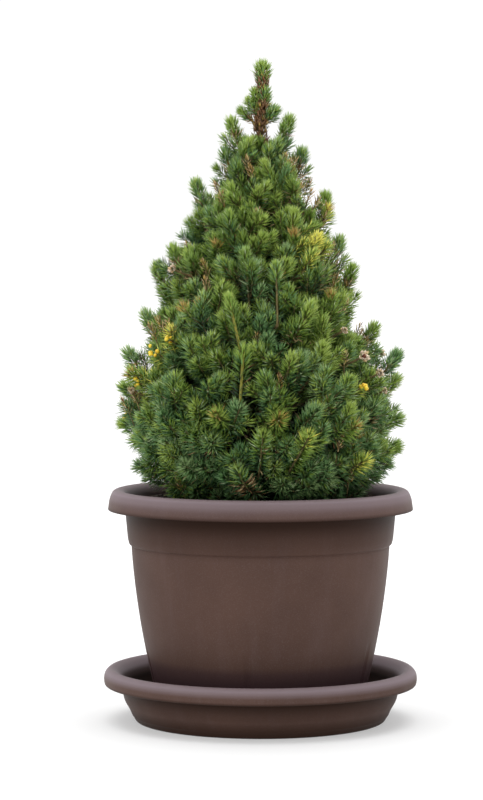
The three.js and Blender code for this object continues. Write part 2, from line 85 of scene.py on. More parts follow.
class Nodes:
    """A material's node tree, with short calls to add and join its nodes."""

    def __init__(self, name, **values):
        self.material = bpy.data.materials.new(name)
        self.material.use_nodes = True
        self.tree = self.material.node_tree
        self.shader = self.tree.nodes["Principled BSDF"]
        self.set(self.shader, **values)

    def put(self, value, socket):
        """Links a socket to another node's, or gives it a constant."""
        if isinstance(value, bpy.types.NodeSocket):
            self.tree.links.new(value, socket)
        else:
            socket.default_value = value

    def set(self, node, **values):
        for name, value in values.items():
            self.put(value, node.inputs[name.replace("_", " ")])
        return node

    def add(self, kind, settings=None, **values):
        node = self.tree.nodes.new("ShaderNode" + kind)
        for name, value in (settings or {}).items():
            setattr(node, name, value)
        return self.set(node, **values)

    def place(self):
        """The point on the piece, in metres."""
        return self.add("TexCoord").outputs["Object"]

    def stretched(self, z):
        """The same point with its height scaled, for marks that run up and down."""
        return self.add("Mapping", Vector=self.place(), Scale=(1, 1, z)).outputs["Vector"]

    def axis(self, vector, name):
        return self.add("SeparateXYZ", Vector=vector).outputs[name]

    def noise(self, scale, detail=3.0, roughness=0.5, vector=None):
        values = {"Scale": scale, "Detail": detail, "Roughness": roughness}
        return self.add("TexNoise", Vector=vector or self.place(), **values).outputs["Fac"]

    def ramp(self, factor, *stops):
        """The factor turned to a colour or a grey, through (position, value) stops."""
        node = self.add("ValToRGB", Fac=factor)
        ramp = node.color_ramp
        while len(ramp.elements) < len(stops):
            ramp.elements.new(0.5)
        for element, (position, value) in zip(ramp.elements, stops):
            element.position = position
            element.color = value if isinstance(value, tuple) else (value, value, value, 1)
        return node.outputs["Color"]

    def mix(self, factor, a, b):
        node = self.add("Mix", {"data_type": "RGBA"})
        for index, value in ((0, factor), (6, a), (7, b)):
            self.put(value, node.inputs[index])
        return node.outputs[2]

    def spread(self, value, low, high):
        """The value from low to high, turned to 0 to 1."""
        part = self.add("MapRange")
        for index, what in enumerate((value, low, high)):
            self.put(what, part.inputs[index])
        return part.outputs[0]

    def height_ramp(self, *stops):
        """Values dealt out by height, through (millimetres, value) stops."""
        low, high = stops[0][0], stops[-1][0]
        height = self.spread(self.axis(self.place(), "Z"), low * MM, high * MM)
        return self.ramp(height, *[((at - low) / (high - low), value) for at, value in stops])

    def bump(self, height, strength, distance):
        made = self.add("Bump", Height=height, Strength=strength, Distance=distance)
        self.set(self.shader, Normal=made.outputs["Normal"])


PLASTIC, PLASTIC_DARK = linear(84, 63, 55), linear(75, 56, 49)
# Painted shade, a purplish painted shade for the pot's foot, and a pale colour for dust and a painted sheen
PLASTIC_PAINTED_SHADE, PLASTIC_PAINTED_FOOT_SHADE, PLASTIC_DUST_AND_SHEEN = linear(40, 22, 12), linear(54, 38, 44), linear(123, 110, 115)
NO_DUST_OR_SHEEN = (0, 0, 0, 1)

# Where dust with a painted sheen, painted shade and a purplish painted shade at the foot lie: (millimetres of
# height, share)
POT_DUST_AND_SHEEN = [(205, 0.0), (212, 0.3), (222, 1.0)]
POT_PAINTED_SHADE = [(60, 0.1), (84, 0.0), (168, 0.0), (176, 0.25), (190, 0.5), (202, 0.9), (209, 1.0), (213, 0.0)]
POT_PAINTED_FOOT_SHADE = [(48, 0.75), (59, 0.5), (66, 0.0)]
SAUCER_DUST_AND_SHEEN = [(34, 0.0), (38, 0.3), (45, 1.0)]
SAUCER_PAINTED_SHADE = [(0, 0.95), (8, 0.7), (16, 0.25), (24, 0.5), (33, 0.9), (36, 0.9), (39, 0.0)]
DUST_AND_SHEEN_FACING_UP = [(0.0, 0.05), (0.25, 0.55), (0.6, 1.0), (1.0, 0.75)]  # how far the face looks up, and the share of dust and painted sheen
SHEEN_ASIDE = [(0, 1.0), (0.3, 0.86), (0.5, 0.8), (0.7, 0.86), (1, 1.0)]  # from the left to the right, share: the painted sheen is stronger at the left and right
ASIDE = 150  # millimetres from the middle to where that scale ends


def plastic(name, dust_and_sheen, shade, foot_shade=None):
    """Satin brown plastic: faint blotches and drag marks, dust and a painted sheen on what faces up near the
    rim and more so at the left and right, painted shade under the rims and low down, and painted purplish
    shade at the foot."""
    n = Nodes(name, Roughness=0.5, IOR=1.46, Specular_IOR_Level=0.1)
    blotch = n.noise(9, 4, 0.6)
    drag = n.noise(60, 3, 0.6, n.stretched(0.06))
    speck = n.noise(900, 2, 0.6)
    base = n.mix(n.ramp(blotch, (0.35, 0.0), (0.7, 1.0)), PLASTIC, PLASTIC_DARK)
    base = n.mix(n.ramp(drag, (0.5, 0.0), (0.8, 0.07)), base, PLASTIC_DUST_AND_SHEEN)
    base = n.mix(n.ramp(speck, (0.5, 0.0), (0.72, 0.12)), base, PLASTIC_DUST_AND_SHEEN)
    # Painted shade: darker by height under the rims, low on the pot and on the saucer's lower wall
    base = n.mix(n.height_ramp(*shade), base, PLASTIC_PAINTED_SHADE)
    if foot_shade:
        # Painted shade: purplish and darker at the pot's foot, inside the saucer
        base = n.mix(n.height_ramp(*foot_shade), base, PLASTIC_PAINTED_FOOT_SHADE)
    # Dust with a painted sheen: lighter on what faces up near the rim, and more so at the left and right
    facing_up = n.axis(n.add("NewGeometry").outputs["Normal"], "Z")
    aside = n.spread(n.axis(n.place(), "X"), -ASIDE * MM, ASIDE * MM)
    dust_and_sheen_lying = n.mix(n.ramp(facing_up, *DUST_AND_SHEEN_FACING_UP), NO_DUST_OR_SHEEN, n.ramp(aside, *SHEEN_ASIDE))
    base = n.mix(n.mix(n.height_ramp(*dust_and_sheen), NO_DUST_OR_SHEEN, dust_and_sheen_lying), base, PLASTIC_DUST_AND_SHEEN)
    n.set(n.shader, Base_Color=base, Roughness=n.ramp(blotch, (0.3, 0.46), (0.75, 0.58)))
    n.bump(n.mix(0.5, n.noise(1400, 2, 0.5), n.noise(120, 3, 0.6)), 0.1, 0.0006)
    return n.material


def soil_material():
    n = Nodes("compost", Roughness=0.95)
    shades = (0.3, linear(24, 18, 14)), (0.55, linear(52, 40, 31)), (0.75, linear(92, 72, 54))
    n.set(n.shader, Base_Color=n.ramp(n.noise(260, 6, 0.7), *shades))
    n.bump(n.noise(420, 5, 0.7), 0.8, 0.003)
    return n.material


def bark_material(name, dark, mid, light):
    """Scaly bark: long plates up the limb, with paler edges."""
    n = Nodes(name, Roughness=0.85)
    plates = n.noise(240, 5, 0.65, n.stretched(0.35))
    shades = (0.3, linear(*dark)), (0.52, linear(*mid)), (0.72, linear(*light))
    n.set(n.shader, Base_Color=n.ramp(plates, *shades))
    n.bump(plates, 0.7, 0.0012)
    return n.material


def bud_material():
    n = Nodes("yellow_buds", Roughness=0.45)
    shades = (0.35, linear(206, 160, 20)), (0.6, linear(236, 208, 56))
    n.set(n.shader, Base_Color=n.ramp(n.noise(160, 2), *shades))
    n.bump(n.noise(700, 3, 0.6), 0.3, 0.0004)
    return n.material


BARK = bark_material("bark", (58, 44, 32), (104, 84, 62), (146, 124, 96))
TWIG_BARK = bark_material("twig_bark", (58, 50, 28), (98, 86, 48), (138, 124, 72))
PALE_BARK = bark_material("pale_bark", (104, 98, 40), (140, 136, 52), (170, 164, 74))
BUD_CORE = bark_material("bud_core", (52, 26, 16), (84, 42, 24), (120, 66, 38))


# ---- meshes


def add_piece(name, points, faces, material, smooth, slot, replaces=()):
    """A mesh from points in millimetres and an array of faces, riding on the plant's one body."""
    mesh = bpy.data.meshes.new(name)
    mesh.vertices.add(len(points))
    mesh.vertices.foreach_set("co", (np.asarray(points) * MM).astype(np.float32).ravel())
    corners = faces.shape[1]
    mesh.loops.add(faces.size)
    mesh.loops.foreach_set("vertex_index", faces.astype(np.int32).ravel())
    mesh.polygons.add(len(faces))
    mesh.polygons.foreach_set("loop_start", np.arange(0, faces.size, corners, dtype=np.int32))
    mesh.update(calc_edges=True)
    mesh.validate()
    if smooth:
        mesh.shade_smooth()
    mesh.materials.append(material)
    piece = add_object(name, mesh)
    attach(piece, "root")
    if replaces:
        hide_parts(*replaces)


def unit(vectors):
    return vectors / np.maximum(np.linalg.norm(vectors, axis=-1, keepdims=True), 1e-9)


def polar(azimuth, reach, height):
    azimuth, reach, height = np.broadcast_arrays(azimuth, reach, height)
    return np.stack([reach * np.cos(azimuth), reach * np.sin(azimuth), height], -1).astype(float)


def lerp(a, b, t):
    return a + (b - a) * t


def along(table, x):
    """A value read off a table, whose rows start with a place and the value there."""
    places, values = list(zip(*table))[:2]
    return np.interp(x, places, values)


def curve(start, bend, end, t):
    return (1 - t) ** 2 * start + 2 * t * (1 - t) * bend + t * t * end


def across(direction):
    """Two unit vectors square to each direction."""
    helper = np.where(np.abs(direction[..., 2:3]) > 0.95, np.array([1.0, 0, 0]), UP)
    side = unit(np.cross(helper, direction))
    return side, np.cross(direction, side)


def around(direction, turn):
    """Unit vectors square to each direction, turned round it."""
    u, v = across(direction)
    return np.cos(turn)[..., None] * u + np.sin(turn)[..., None] * v


def filleted(corners, parts=5):
    """A profile whose corners, (radius, height, rounding), are rounded off."""
    points = []
    spots = [np.array(c[:2], float) for c in corners]
    for i, (_, _, rounding) in enumerate(corners):
        if not rounding or i in (0, len(corners) - 1):
            points.append(spots[i])
            continue
        back, on = spots[i - 1] - spots[i], spots[i + 1] - spots[i]
        take = min(rounding, 0.49 * np.linalg.norm(back), 0.49 * np.linalg.norm(on))
        start, end = spots[i] + take * unit(back), spots[i] + take * unit(on)
        points += [curve(start, spots[i], end, t) for t in np.linspace(0, 1, parts)]
    return np.array(points)


def closed_rings(rings, first, last):
    """A closed surface through rings of points, (rings, turns, 3), from a first point to a last one.

    It comes as points and triangles, which face out where the rings turn from +X to +Y and climb.
    """
    steps, count = rings.shape[:2]
    k = np.arange(count)
    on = (k + 1) % count
    faces = []
    for i in range(steps - 1):
        a, b = i * count + k, i * count + on
        faces += [np.stack([a, b, b + count], 1), np.stack([a, b + count, a + count], 1)]
    top, low_end = (steps - 1) * count, np.full(count, steps * count)
    faces += [np.stack([low_end, on, k], 1), np.stack([top + k, top + on, low_end + 1], 1)]
    return np.vstack([rings.reshape(-1, 3), [first, last]]), np.vstack(faces)


def lathe(profile, azimuths, shape=None):
    """A closed surface of revolution from a profile that starts and ends on the axis."""
    ring = profile[1:-1, None]
    radius = ring[..., 0] + (0 if shape is None else shape(ring, azimuths))
    return closed_rings(polar(azimuths, radius, ring[..., 1]), (0, 0, profile[0][1]), (0, 0, profile[-1][1]))


def tubes(stations, radii, sides, rough=None):
    """Closed tapering limbs. Stations are (limbs, rings, 3) and radii (limbs, rings)."""
    limbs, rings = radii.shape
    ahead = np.concatenate([stations[:, 1:], stations[:, -1:]], 1)
    behind = np.concatenate([stations[:, :1], stations[:, :-1]], 1)
    turn = 2 * np.pi * np.arange(sides) / sides
    r = radii[:, :, None, None] * (1 if rough is None else rough[..., None])
    points = stations[:, :, None] + r * around(unit(ahead - behind)[:, :, None], turn)
    start = (np.arange(limbs) * rings * sides)[:, None, None]
    i = (np.arange(rings - 1) * sides)[None, :, None]
    k = np.arange(sides)[None, None, :]
    a, b = start + i + k, start + i + (k + 1) % sides
    walls = np.stack([a, b, b + sides, a, b + sides, a + sides], -1).reshape(-1, 3)
    k = np.arange(1, sides - 1)[None, :]
    low, high = start[:, 0], start[:, 0] + (rings - 1) * sides
    start_cap = np.stack([low + 0 * k, low + k + 1, low + k], -1).reshape(-1, 3)
    end_cap = np.stack([high + 0 * k, high + k, high + k + 1], -1).reshape(-1, 3)
    return points.reshape(-1, 3), np.vstack([walls, start_cap, end_cap])


def bezier(start, bend, end, t):
    """Points on curves, for arrays (curves, 3) and t (curves, n) or (n,)."""
    t = np.broadcast_to(t, (len(start), np.shape(t)[-1]))[..., None]
    return curve(start[:, None], bend[:, None], end[:, None], t)


def bezier_direction(start, bend, end, t):
    t = np.broadcast_to(t, (len(start), np.shape(t)[-1]))[..., None]
    return unit((1 - t) * (bend - start)[:, None] + t * (end - bend)[:, None])


# ---- pot, saucer and soil

SAUCER_BASE, SAUCER_WALL, SAUCER_RIM = 123.4, 136.8, 155.4  # radii
SAUCER_LIP_HEIGHT = 36
POT_FLOOR = 2.9
POT_BASE, POT_SHOULDER, POT_COLLAR, POT_LIP, POT_MOUTH = 98.4, 127.9, 133.7, 150.4, 131
POT_SHOULDER_HEIGHT, POT_LIP_HEIGHT, POT_HEIGHT = 173.8, 209.1, 231.2
WALL, WALL_BULGE = 2.7, 6
TURNS = 192

FLUTES, FLUTE_TURN, FLUTE_WIDTH, FLUTE_TOP, FLUTE_DEPTH = 5, -96, 9, 84, 1.7
FLUTE_STEP = 2 * np.pi / FLUTES
FLUTE_REACH = 115.5  # the pot's radius at the flutes' top


def saucer_profile():
    """The saucer's section: from the middle of its underside out, round the rolled rim and back in."""
    base, wall, rim, lip = SAUCER_BASE, SAUCER_WALL, SAUCER_RIM, SAUCER_LIP_HEIGHT
    return filleted([
        (0, 0.9, 0), (base - 12, 0.9, 1), (base - 9, 0, 1), (base, 0, 2.5), (base + 2.6, 4.8, 1),
        (base + 3.8, 6.2, 0.8), (base + 6.4, 12.2, 3), (base + 11.6, 21, 4), (wall - 0.2, 28, 5),
        (wall + 0.8, 41, 4), (wall + 4.5, 47.4, 5), (rim - 8, 49.4, 4), (rim - 4.8, 45.5, 4),
        (rim - 3.8, lip + 1.2, 0.7), (rim - 2.2, lip - 0.3, 0.8), (rim - 0.8, lip + 1, 1.2), (rim, 43, 4),
        (rim - 1.4, 48.6, 5), (rim - 6.4, 53.0, 5), (wall + 6.0, 50.6, 5), (wall - 0.2, 44, 4),
        (wall - WALL, 29, 5), (base + 3.4, 9, 4), (base - 2.8, 2.6, 3), (0, 2.6, 0),
    ])


def pot_wall(inset, count=14):
    """The pot's bulged wall from its foot to its shoulder, some way in from the outside."""
    foot = POT_FLOOR + 4
    t = np.linspace(0, 1, count)
    z = curve(foot, (foot + POT_SHOULDER_HEIGHT) / 2, POT_SHOULDER_HEIGHT, t)
    r = curve(POT_BASE, POT_SHOULDER - WALL_BULGE, POT_SHOULDER, t)
    return [(a - inset, b, 0) for a, b in zip(r, z)]


def pot_profile():
    """The pot's section: its floor, wall, shoulder step, collar and rolled rim, and back down the inside."""
    outside, inside = pot_wall(0), pot_wall(WALL)[::-1]
    base, shoulder, collar, lip, mouth = POT_BASE, POT_SHOULDER, POT_COLLAR, POT_LIP, POT_MOUTH
    foot, step, under, top = POT_FLOOR, POT_SHOULDER_HEIGHT, POT_LIP_HEIGHT, POT_HEIGHT
    return filleted([
        (0, foot + 0.8, 0), (base - 10, foot + 0.8, 1), (base - 8, foot, 1), (base - 1.6, foot, 2.4),
        *outside[:-1], (shoulder - 0.2, step - 1.2, 0.5), (shoulder - 0.5, step + 0.2, 0.5),
        (shoulder + 2.0, step + 1.6, 1.4), (shoulder + 3.4, step + 7, 4), (collar - 0.6, 200, 3),
        (collar + 0.6, 215, 3), (collar + 4.5, 222.5, 4), (lip - 6.5, 221.5, 4), (lip - 3.6, under + 2, 1.2),
        (lip - 1.6, under + 0.2, 0.5), (lip + 0.5, under + 0.4, 0.6), (lip - 1.0, top - 10.5, 6),
        (lip - 4.2, top - 3.4, 5), (lip - 9, top - 1.6, 4), (mouth + 3.4, top - 3.6, 4), (mouth, top - 10, 3),
        *inside[1:-1], (base - WALL - 2, foot + WALL, 2), (0, foot + WALL, 0),
    ])


def flutes(ring, azimuth):
    """Shallow grooves that rise from the pot's foot, as a change of its radius."""
    off = (azimuth - math.radians(FLUTE_TURN) + FLUTE_STEP / 2) % FLUTE_STEP - FLUTE_STEP / 2
    across_it = np.clip(1 - (off * ring[..., 0] / (FLUTE_WIDTH / 2)) ** 2, 0, 1) ** 0.7
    up_it = np.clip((FLUTE_TOP - ring[..., 1]) / 30, 0, 1) * (ring[..., 1] > POT_FLOOR + 1)
    outside = ring[..., 0] > np.interp(ring[..., 1], [0, FLUTE_TOP], [POT_BASE, FLUTE_REACH]) - 4
    return -FLUTE_DEPTH * across_it * up_it * outside


def add_pot():
    turns = np.linspace(0, 2 * np.pi, TURNS, endpoint=False)
    middles = math.radians(FLUTE_TURN) + FLUTE_STEP * np.arange(FLUTES)
    at_flutes = (middles[:, None] + np.linspace(-0.08, 0.08, 15)) % (2 * np.pi)
    pot_turns = np.unique(np.round(np.concatenate([turns, at_flutes.ravel()]), 5))
    material = plastic("saucer_plastic", SAUCER_DUST_AND_SHEEN, SAUCER_PAINTED_SHADE)
    add_piece("saucer_shell", *lathe(saucer_profile(), turns), material, True, "saucer_plastic", ["saucer"])
    material = plastic("pot_plastic", POT_DUST_AND_SHEEN, POT_PAINTED_SHADE, POT_PAINTED_FOOT_SHADE)
    add_piece("pot_shell", *lathe(pot_profile(), pot_turns, flutes), material, True, "pot_plastic", ["pot"])


def soft_noise(points, size, seed, octaves=3):
    """Smooth value noise between -1 and 1 at points in millimetres, on a hashed lattice."""
    total, weight = 0.0, 0.0
    for octave in range(octaves):
        p = points / size * 2**octave + seed * 17.31
        cell = np.floor(p).astype(np.int64)
        f = p - cell
        f = f * f * (3 - 2 * f)
        value = 0.0
        for corner in np.ndindex(2, 2, 2):
            c = cell + corner
            h = (c[..., 0] * 73856093) ^ (c[..., 1] * 19349663) ^ (c[..., 2] * 83492791) ^ (seed * 2654435761)
            h = (h ^ (h >> 13)) * 1274126177 & 0x7FFFFFFF
            share = np.prod(np.where(corner, f, 1 - f), -1)
            value = value + share * ((h ^ (h >> 16)) % 65536 / 32768 - 1)
        total, weight = total + value / 2**octave, weight + 1 / 2**octave
    return total / weight


SOIL_TOP, SOIL_EDGE_TOP, SOIL_SIDE_FOOT = 222, 217, 205
SOIL_LEVEL, SOIL_EDGE = 24, POT_MOUTH - WALL - 2.2  # radii of the mound's level top and of the soil
SOIL_RINGS, SOIL_TURNS = 52, 160
LUMP_HEIGHT, LUMP_SIZE, CRUMBS = 2.2, 26, 1500
CRUMB_FACES = [[0, 2, 4], [0, 4, 3], [0, 3, 5], [0, 5, 2], [1, 4, 2], [1, 3, 4], [1, 5, 3], [1, 2, 5]]


def soil_height(reach):
    fall = np.clip((reach - SOIL_LEVEL) / (SOIL_EDGE - SOIL_LEVEL), 0, 1)
    return SOIL_EDGE_TOP + (SOIL_TOP - SOIL_EDGE_TOP) * (1 - fall)


def soil_lumps(points):
    return LUMP_HEIGHT * soft_noise(points, LUMP_SIZE, 5)


def add_soil():
    """The top of the soil: a lumpy disc that mounds towards the trunk, with crumbs on it."""
    turns = np.linspace(0, 2 * np.pi, SOIL_TURNS, endpoint=False)
    reach = SOIL_EDGE * np.linspace(0.02, 1, SOIL_RINGS)[:, None]
    top = polar(turns, reach, soil_height(reach))
    top[..., 2] += soil_lumps(top) + 1.1 * soft_noise(top, 6, 6)
    rings = np.concatenate([top, top[-1:] * [1, 1, 0] + [0, 0, SOIL_SIDE_FOOT]])
    points, faces = closed_rings(rings, (0, 0, top[0, :, 2].mean()), (0, 0, SOIL_SIDE_FOOT))
    add_piece("soil_top", points, faces[:, ::-1], soil_material(), True, "soil", ["soil"])
    add_crumbs()


def add_crumbs():
    """Lumps of bark and compost, as squashed octahedra."""
    reach = SOIL_EDGE * 0.97 * np.sqrt(rng.random(CRUMBS))
    turn = 2 * np.pi * rng.random(CRUMBS)
    centre = polar(turn, reach, soil_height(reach))
    centre[:, 2] += soil_lumps(centre) + 0.6
    size = 0.9 + 2.2 * rng.random((CRUMBS, 1)) ** 2
    axes = unit(rng.normal(size=(CRUMBS, 3)))
    u, v = across(axes)
    corners = np.stack([axes, -axes, u, -u, v, -v], 1) * np.array([1.3, 1.3, 1, 1, 0.7, 0.7])[None, :, None]
    points = centre[:, None] + size[:, None] * corners * (0.8 + 0.4 * rng.random((CRUMBS, 6, 1)))
    faces = (np.arange(CRUMBS)[:, None, None] * 6 + CRUMB_FACES).reshape(-1, 3)
    add_piece("soil_crumbs", points.reshape(-1, 3), faces, soil_material(), False, "soil")


# ---- trunk and low boughs

TRUNK_FOOT, TRUNK_TIP = SOIL_TOP + 0.3, 627
TRUNK_FLARE, TRUNK_FOOT_RADIUS, TRUNK_TIP_RADIUS = 15, 10.5, 1.9
TRUNK_SWAY, TRUNK_LEAN, FLARE_HEIGHT, TRUNK_SIDES = 3.2, 1.4, 16, 28


def trunk_at(height):
    """The trunk's middle line: it bends twice, and its tip stands over its foot."""
    height = np.asarray(height, float)
    t = (height - TRUNK_FOOT) / (TRUNK_TIP - TRUNK_FOOT)
    bend = TRUNK_SWAY * np.sin(2 * np.pi * t) * (1 - t / 2)
    return np.stack([bend + TRUNK_LEAN * t, -0.6 * bend, height], -1)


def trunk_radius(height):
    height = np.asarray(height, float)
    t = (height - TRUNK_FOOT) / (TRUNK_TIP - TRUNK_FOOT)
    flare = np.clip(1 - (height - TRUNK_FOOT) / FLARE_HEIGHT, 0, None) ** 2
    return lerp(TRUNK_FOOT_RADIUS, TRUNK_TIP_RADIUS, t) + (TRUNK_FLARE - TRUNK_FOOT_RADIUS) * flare


PLATE_SIZE = 9  # of bark


def bark_relief(stations, sides, depth, seed):
    """The roughness of bark on tubes, as a factor on their radius."""
    turn = 2 * np.pi * np.arange(sides) / sides
    ring = polar(turn, PLATE_SIZE, 0)
    at = stations[:, :, None] * [1, 1, 0.6] + ring
    return 1 + depth * soft_noise(at, PLATE_SIZE, seed) + 0.6 * depth * soft_noise(at, 3.2, seed + 1)


def add_trunk():
    at_foot, above = TRUNK_FOOT + np.linspace(0, 18, 8), np.linspace(TRUNK_FOOT + 22, TRUNK_TIP, 130)
    heights = np.concatenate([at_foot, above])
    stations = trunk_at(heights)[None]
    relief = bark_relief(stations, TRUNK_SIDES, 0.07, 11)
    relief[:, 0], relief[:, -1] = 1, 1
    points, faces = tubes(stations, trunk_radius(heights)[None], TRUNK_SIDES, relief)
    add_piece("trunk_bark", points, faces, BARK, True, "bark", ["trunk"])


# ---- the crown's rule

LEFT_SHOOTS = [  # height and reach of each tip that stands out, and how much further out its needles go
    (240, 110, 10), (254, 123, 5), (295, 142, 2), (335, 138, 2), (369, 126, 10), (408, 116, 0),
    (455, 99, 6), (472, 85, 3), (537, 56, 9), (568, 41, -5), (597, 30, 0),
]
RIGHT_SHOOTS = [
    (243, 122, 0), (272, 140, 3), (302, 139, 4), (342, 135, 5), (368, 127, 12), (394, 109, 8),
    (453, 87, 5), (481, 76, 4), (524, 61, 4), (568, 40, 2), (599, 30, 0),
]
SHOOT_SWING = 7
CONES = [(225.5, 0), (241, 0.25), (255, 0.57), (287, 0.9), (335, 1.15), (392, 1.4), (456, 1.7), (548, 2.2)]
TIERS = [  # name, masses, azimuth of the first, rows of the main sprays and how many stand in each
    ("skirt", 7, 20, (0.24, 0.78), (2, 3)),
    ("low", 7, 56, (0.25, 0.76), (2, 3)),
    ("middle", 6, 12, (0.25, 0.76), (3, 2)),
    ("upper", 6, 30, (0.25, 0.76), (3, 2)),
    ("high", 5, 0, (0.25, 0.76), (3, 2)),
    ("shoulder", 4, 30, (0.22, 0.72), (3, 2)),
    ("crest", 4, 0, (0.2, 0.5), (3, 1)),
]
SPRAY_LENGTH = 48
SPRAY_APART = 28
BOUGH_END, BOUGH_HEIGHT, BOUGH_RISE = 66, 233, 0.08
BOUGH_INNER, BOUGH_OUTER, BOUGH_START = 4.2, 2.4, 0.12


def seeded(seed):
    """Numbers from 0 to 1 in a fixed order for each seed, as the solids' source draws them."""
    state = seed & 0xFFFFFFFF

    def draw():
        nonlocal state
        state = (state + 0x6D2B79F5) & 0xFFFFFFFF
        t = ((state ^ (state >> 15)) * (state | 1)) & 0xFFFFFFFF
        t ^= (t + (((t ^ (t >> 7)) * (t | 61)) & 0xFFFFFFFF)) & 0xFFFFFFFF
        return ((t ^ (t >> 14)) & 0xFFFFFFFF) / 4294967296

    return draw


def crown_reach(height, azimuth):
    return lerp(along(LEFT_SHOOTS, height), along(RIGHT_SHOOTS, height), (1 + math.cos(azimuth)) / 2)


def on_crown(degrees, height, past=0, drop=0):
    """A point some millimetres past the crown's reach at a height, and that far below it."""
    azimuth = math.radians(degrees)
    return polar(azimuth, crown_reach(height, azimuth) + past, height - drop)


SIDE_DEPTH = 2
LEFT_NOTCHES = [  # height and depth of the notches between the shoots that stand out
    (235, 4), (244, 0), (267, 16), (280, 3), (308, 8), (325, 2), (350, 5), (390, 5), (408, 12), (418, 9),
    (438, 13), (460, 3), (478, 0), (550, 0), (562, 11), (600, 3),
]
RIGHT_NOTCHES = [
    (240, 4), (260, 0), (286, 8), (300, 4), (315, 6), (330, 2), (355, 3), (380, 4), (398, 20), (412, 18),
    (424, 2), (470, 3), (485, 2), (500, 0), (518, 2), (526, 5), (534, 8), (542, 0), (554, 0), (560, 2),
    (568, 0), (580, 0), (600, 2),
]


def notch(height, azimuth):
    """How far the finer shoots between those that stand out at the left and the right are drawn in."""
    depth = along(LEFT_NOTCHES if math.cos(azimuth) < 0 else RIGHT_NOTCHES, height)
    return (depth + SIDE_DEPTH) * min(1.0, max(0.0, 2.5 * abs(math.cos(azimuth)) - 1.2))


def pushed(shoot):
    """A shoot that stands out at the left or the right, moved to where the photo shows its needles."""
    azimuth, reach, height, rise = shoot
    push = {z: by for z, _, by in (LEFT_SHOOTS if math.cos(azimuth) < 0 else RIGHT_SHOOTS)}
    return azimuth, reach + push[height], height, rise


def cone_height(tier, reach):
    return CONES[tier][0] + CONES[tier][1] * reach


def rise_in(tier, up):
    return lerp(CONES[tier][1], CONES[tier + 1][1], up)


def up_in(tier, reach, height):
    low = cone_height(tier, reach)
    return (height - low) / (cone_height(tier + 1, reach) - low)


def height_in(tier, reach, up):
    return lerp(cone_height(tier, reach), cone_height(tier + 1, reach), up)


def tip_in(tier, up, azimuth):
    """The reach and height of a shoot's tip, "up" of the way from its tier's lower cone to its upper one."""
    reach = 100.0
    for _ in range(16):
        reach = lerp(reach, crown_reach(height_in(tier, reach, up), azimuth), 0.5)
    return reach, height_in(tier, reach, up)


class Cell:
    """The space of one mass: its tier, and the wedge of azimuths that it takes."""

    def __init__(self, tier, index):
        name, masses, turn, self.rows, self.counts = TIERS[tier]
        self.tier, self.index = tier, index
        self.width = 2 * math.pi / masses
        self.middle = math.radians(turn) + index * self.width
        self.node = "foliage_" + name + "_" + chr(ord("a") + index)

    def swing(self, azimuth):
        turns = (azimuth - self.middle) / (2 * math.pi)
        return 2 * math.pi * (turns - round(turns))


def side_shoots(cell):
    found = []
    for side, shoots in ((0, RIGHT_SHOOTS), (math.pi, LEFT_SHOOTS)):
        for i, (height, reach, _) in enumerate(shoots):
            azimuth = side + math.radians(SHOOT_SWING if i % 2 else -SHOOT_SWING)
            up = up_in(cell.tier, reach, height)
            if 0 < up <= 1 and abs(cell.swing(azimuth)) <= cell.width / 2:
                found.append((azimuth, reach, height, rise_in(cell.tier, up)))
    return found


def main_shoots(cell):
    """The shoots that the solids have too: azimuth, reach, height and rise of each."""
    draw = seeded(1000 * (cell.tier + 1) + cell.index)
    shoots = side_shoots(cell)
    for row, count in zip(cell.rows, cell.counts):
        for c in range(count):
            up = row + 0.1 * (draw() - 0.5)
            place = (c + 0.5 + 0.3 * (draw() - 0.5)) / count - 0.5
            azimuth = cell.middle + place * cell.width
            reach, height = tip_in(cell.tier, up, azimuth)
            reach -= 7 * draw()
            draw()  # the solids' twist
            tip = polar(azimuth, reach, height)
            if all(np.linalg.norm(polar(*s[:3]) - tip) >= SPRAY_APART for s in shoots):
                shoots.append((azimuth, reach, height, rise_in(cell.tier, up)))
    return shoots


LEAD_APART = 21.5  # between the tips of the finer leading shoots
LEAD_CLEAR = 14.5  # from the tip of another
SIDE_CLEAR = 26  # from the tip of a shoot that stands out at the crown's side
LEAD_LEAST, LEAD_MOST = 4, 17  # how far their tips stay within the crown's reach
CREST_TOP = 0.6  # how far up the crest's tier they stand
TALL = 0.8  # heights count less than widths in those distances
HOLLOWS, HOLLOW_SIZE, HOLLOW_SEED = -0.42, 30, 77  # where slow noise is below this, the crown has a hollow
HOLLOW_SPOTS = [  # azimuth, height and radius of hollows that the photo shows
    (-66, 262, 15), (-72, 246, 13), (-92, 372, 9), (-116, 290, 9), (-58, 352, 9),
    (60, 300, 14), (110, 262, 14), (160, 350, 11), (20, 420, 10), (95, 395, 11), (135, 455, 10),
]
SKIRT_THINNED = 0.85  # share of the skirt's finer shoots that is left out at the crown's left and right


def top_of(tier):
    return CREST_TOP if tier == len(TIERS) - 1 else 1


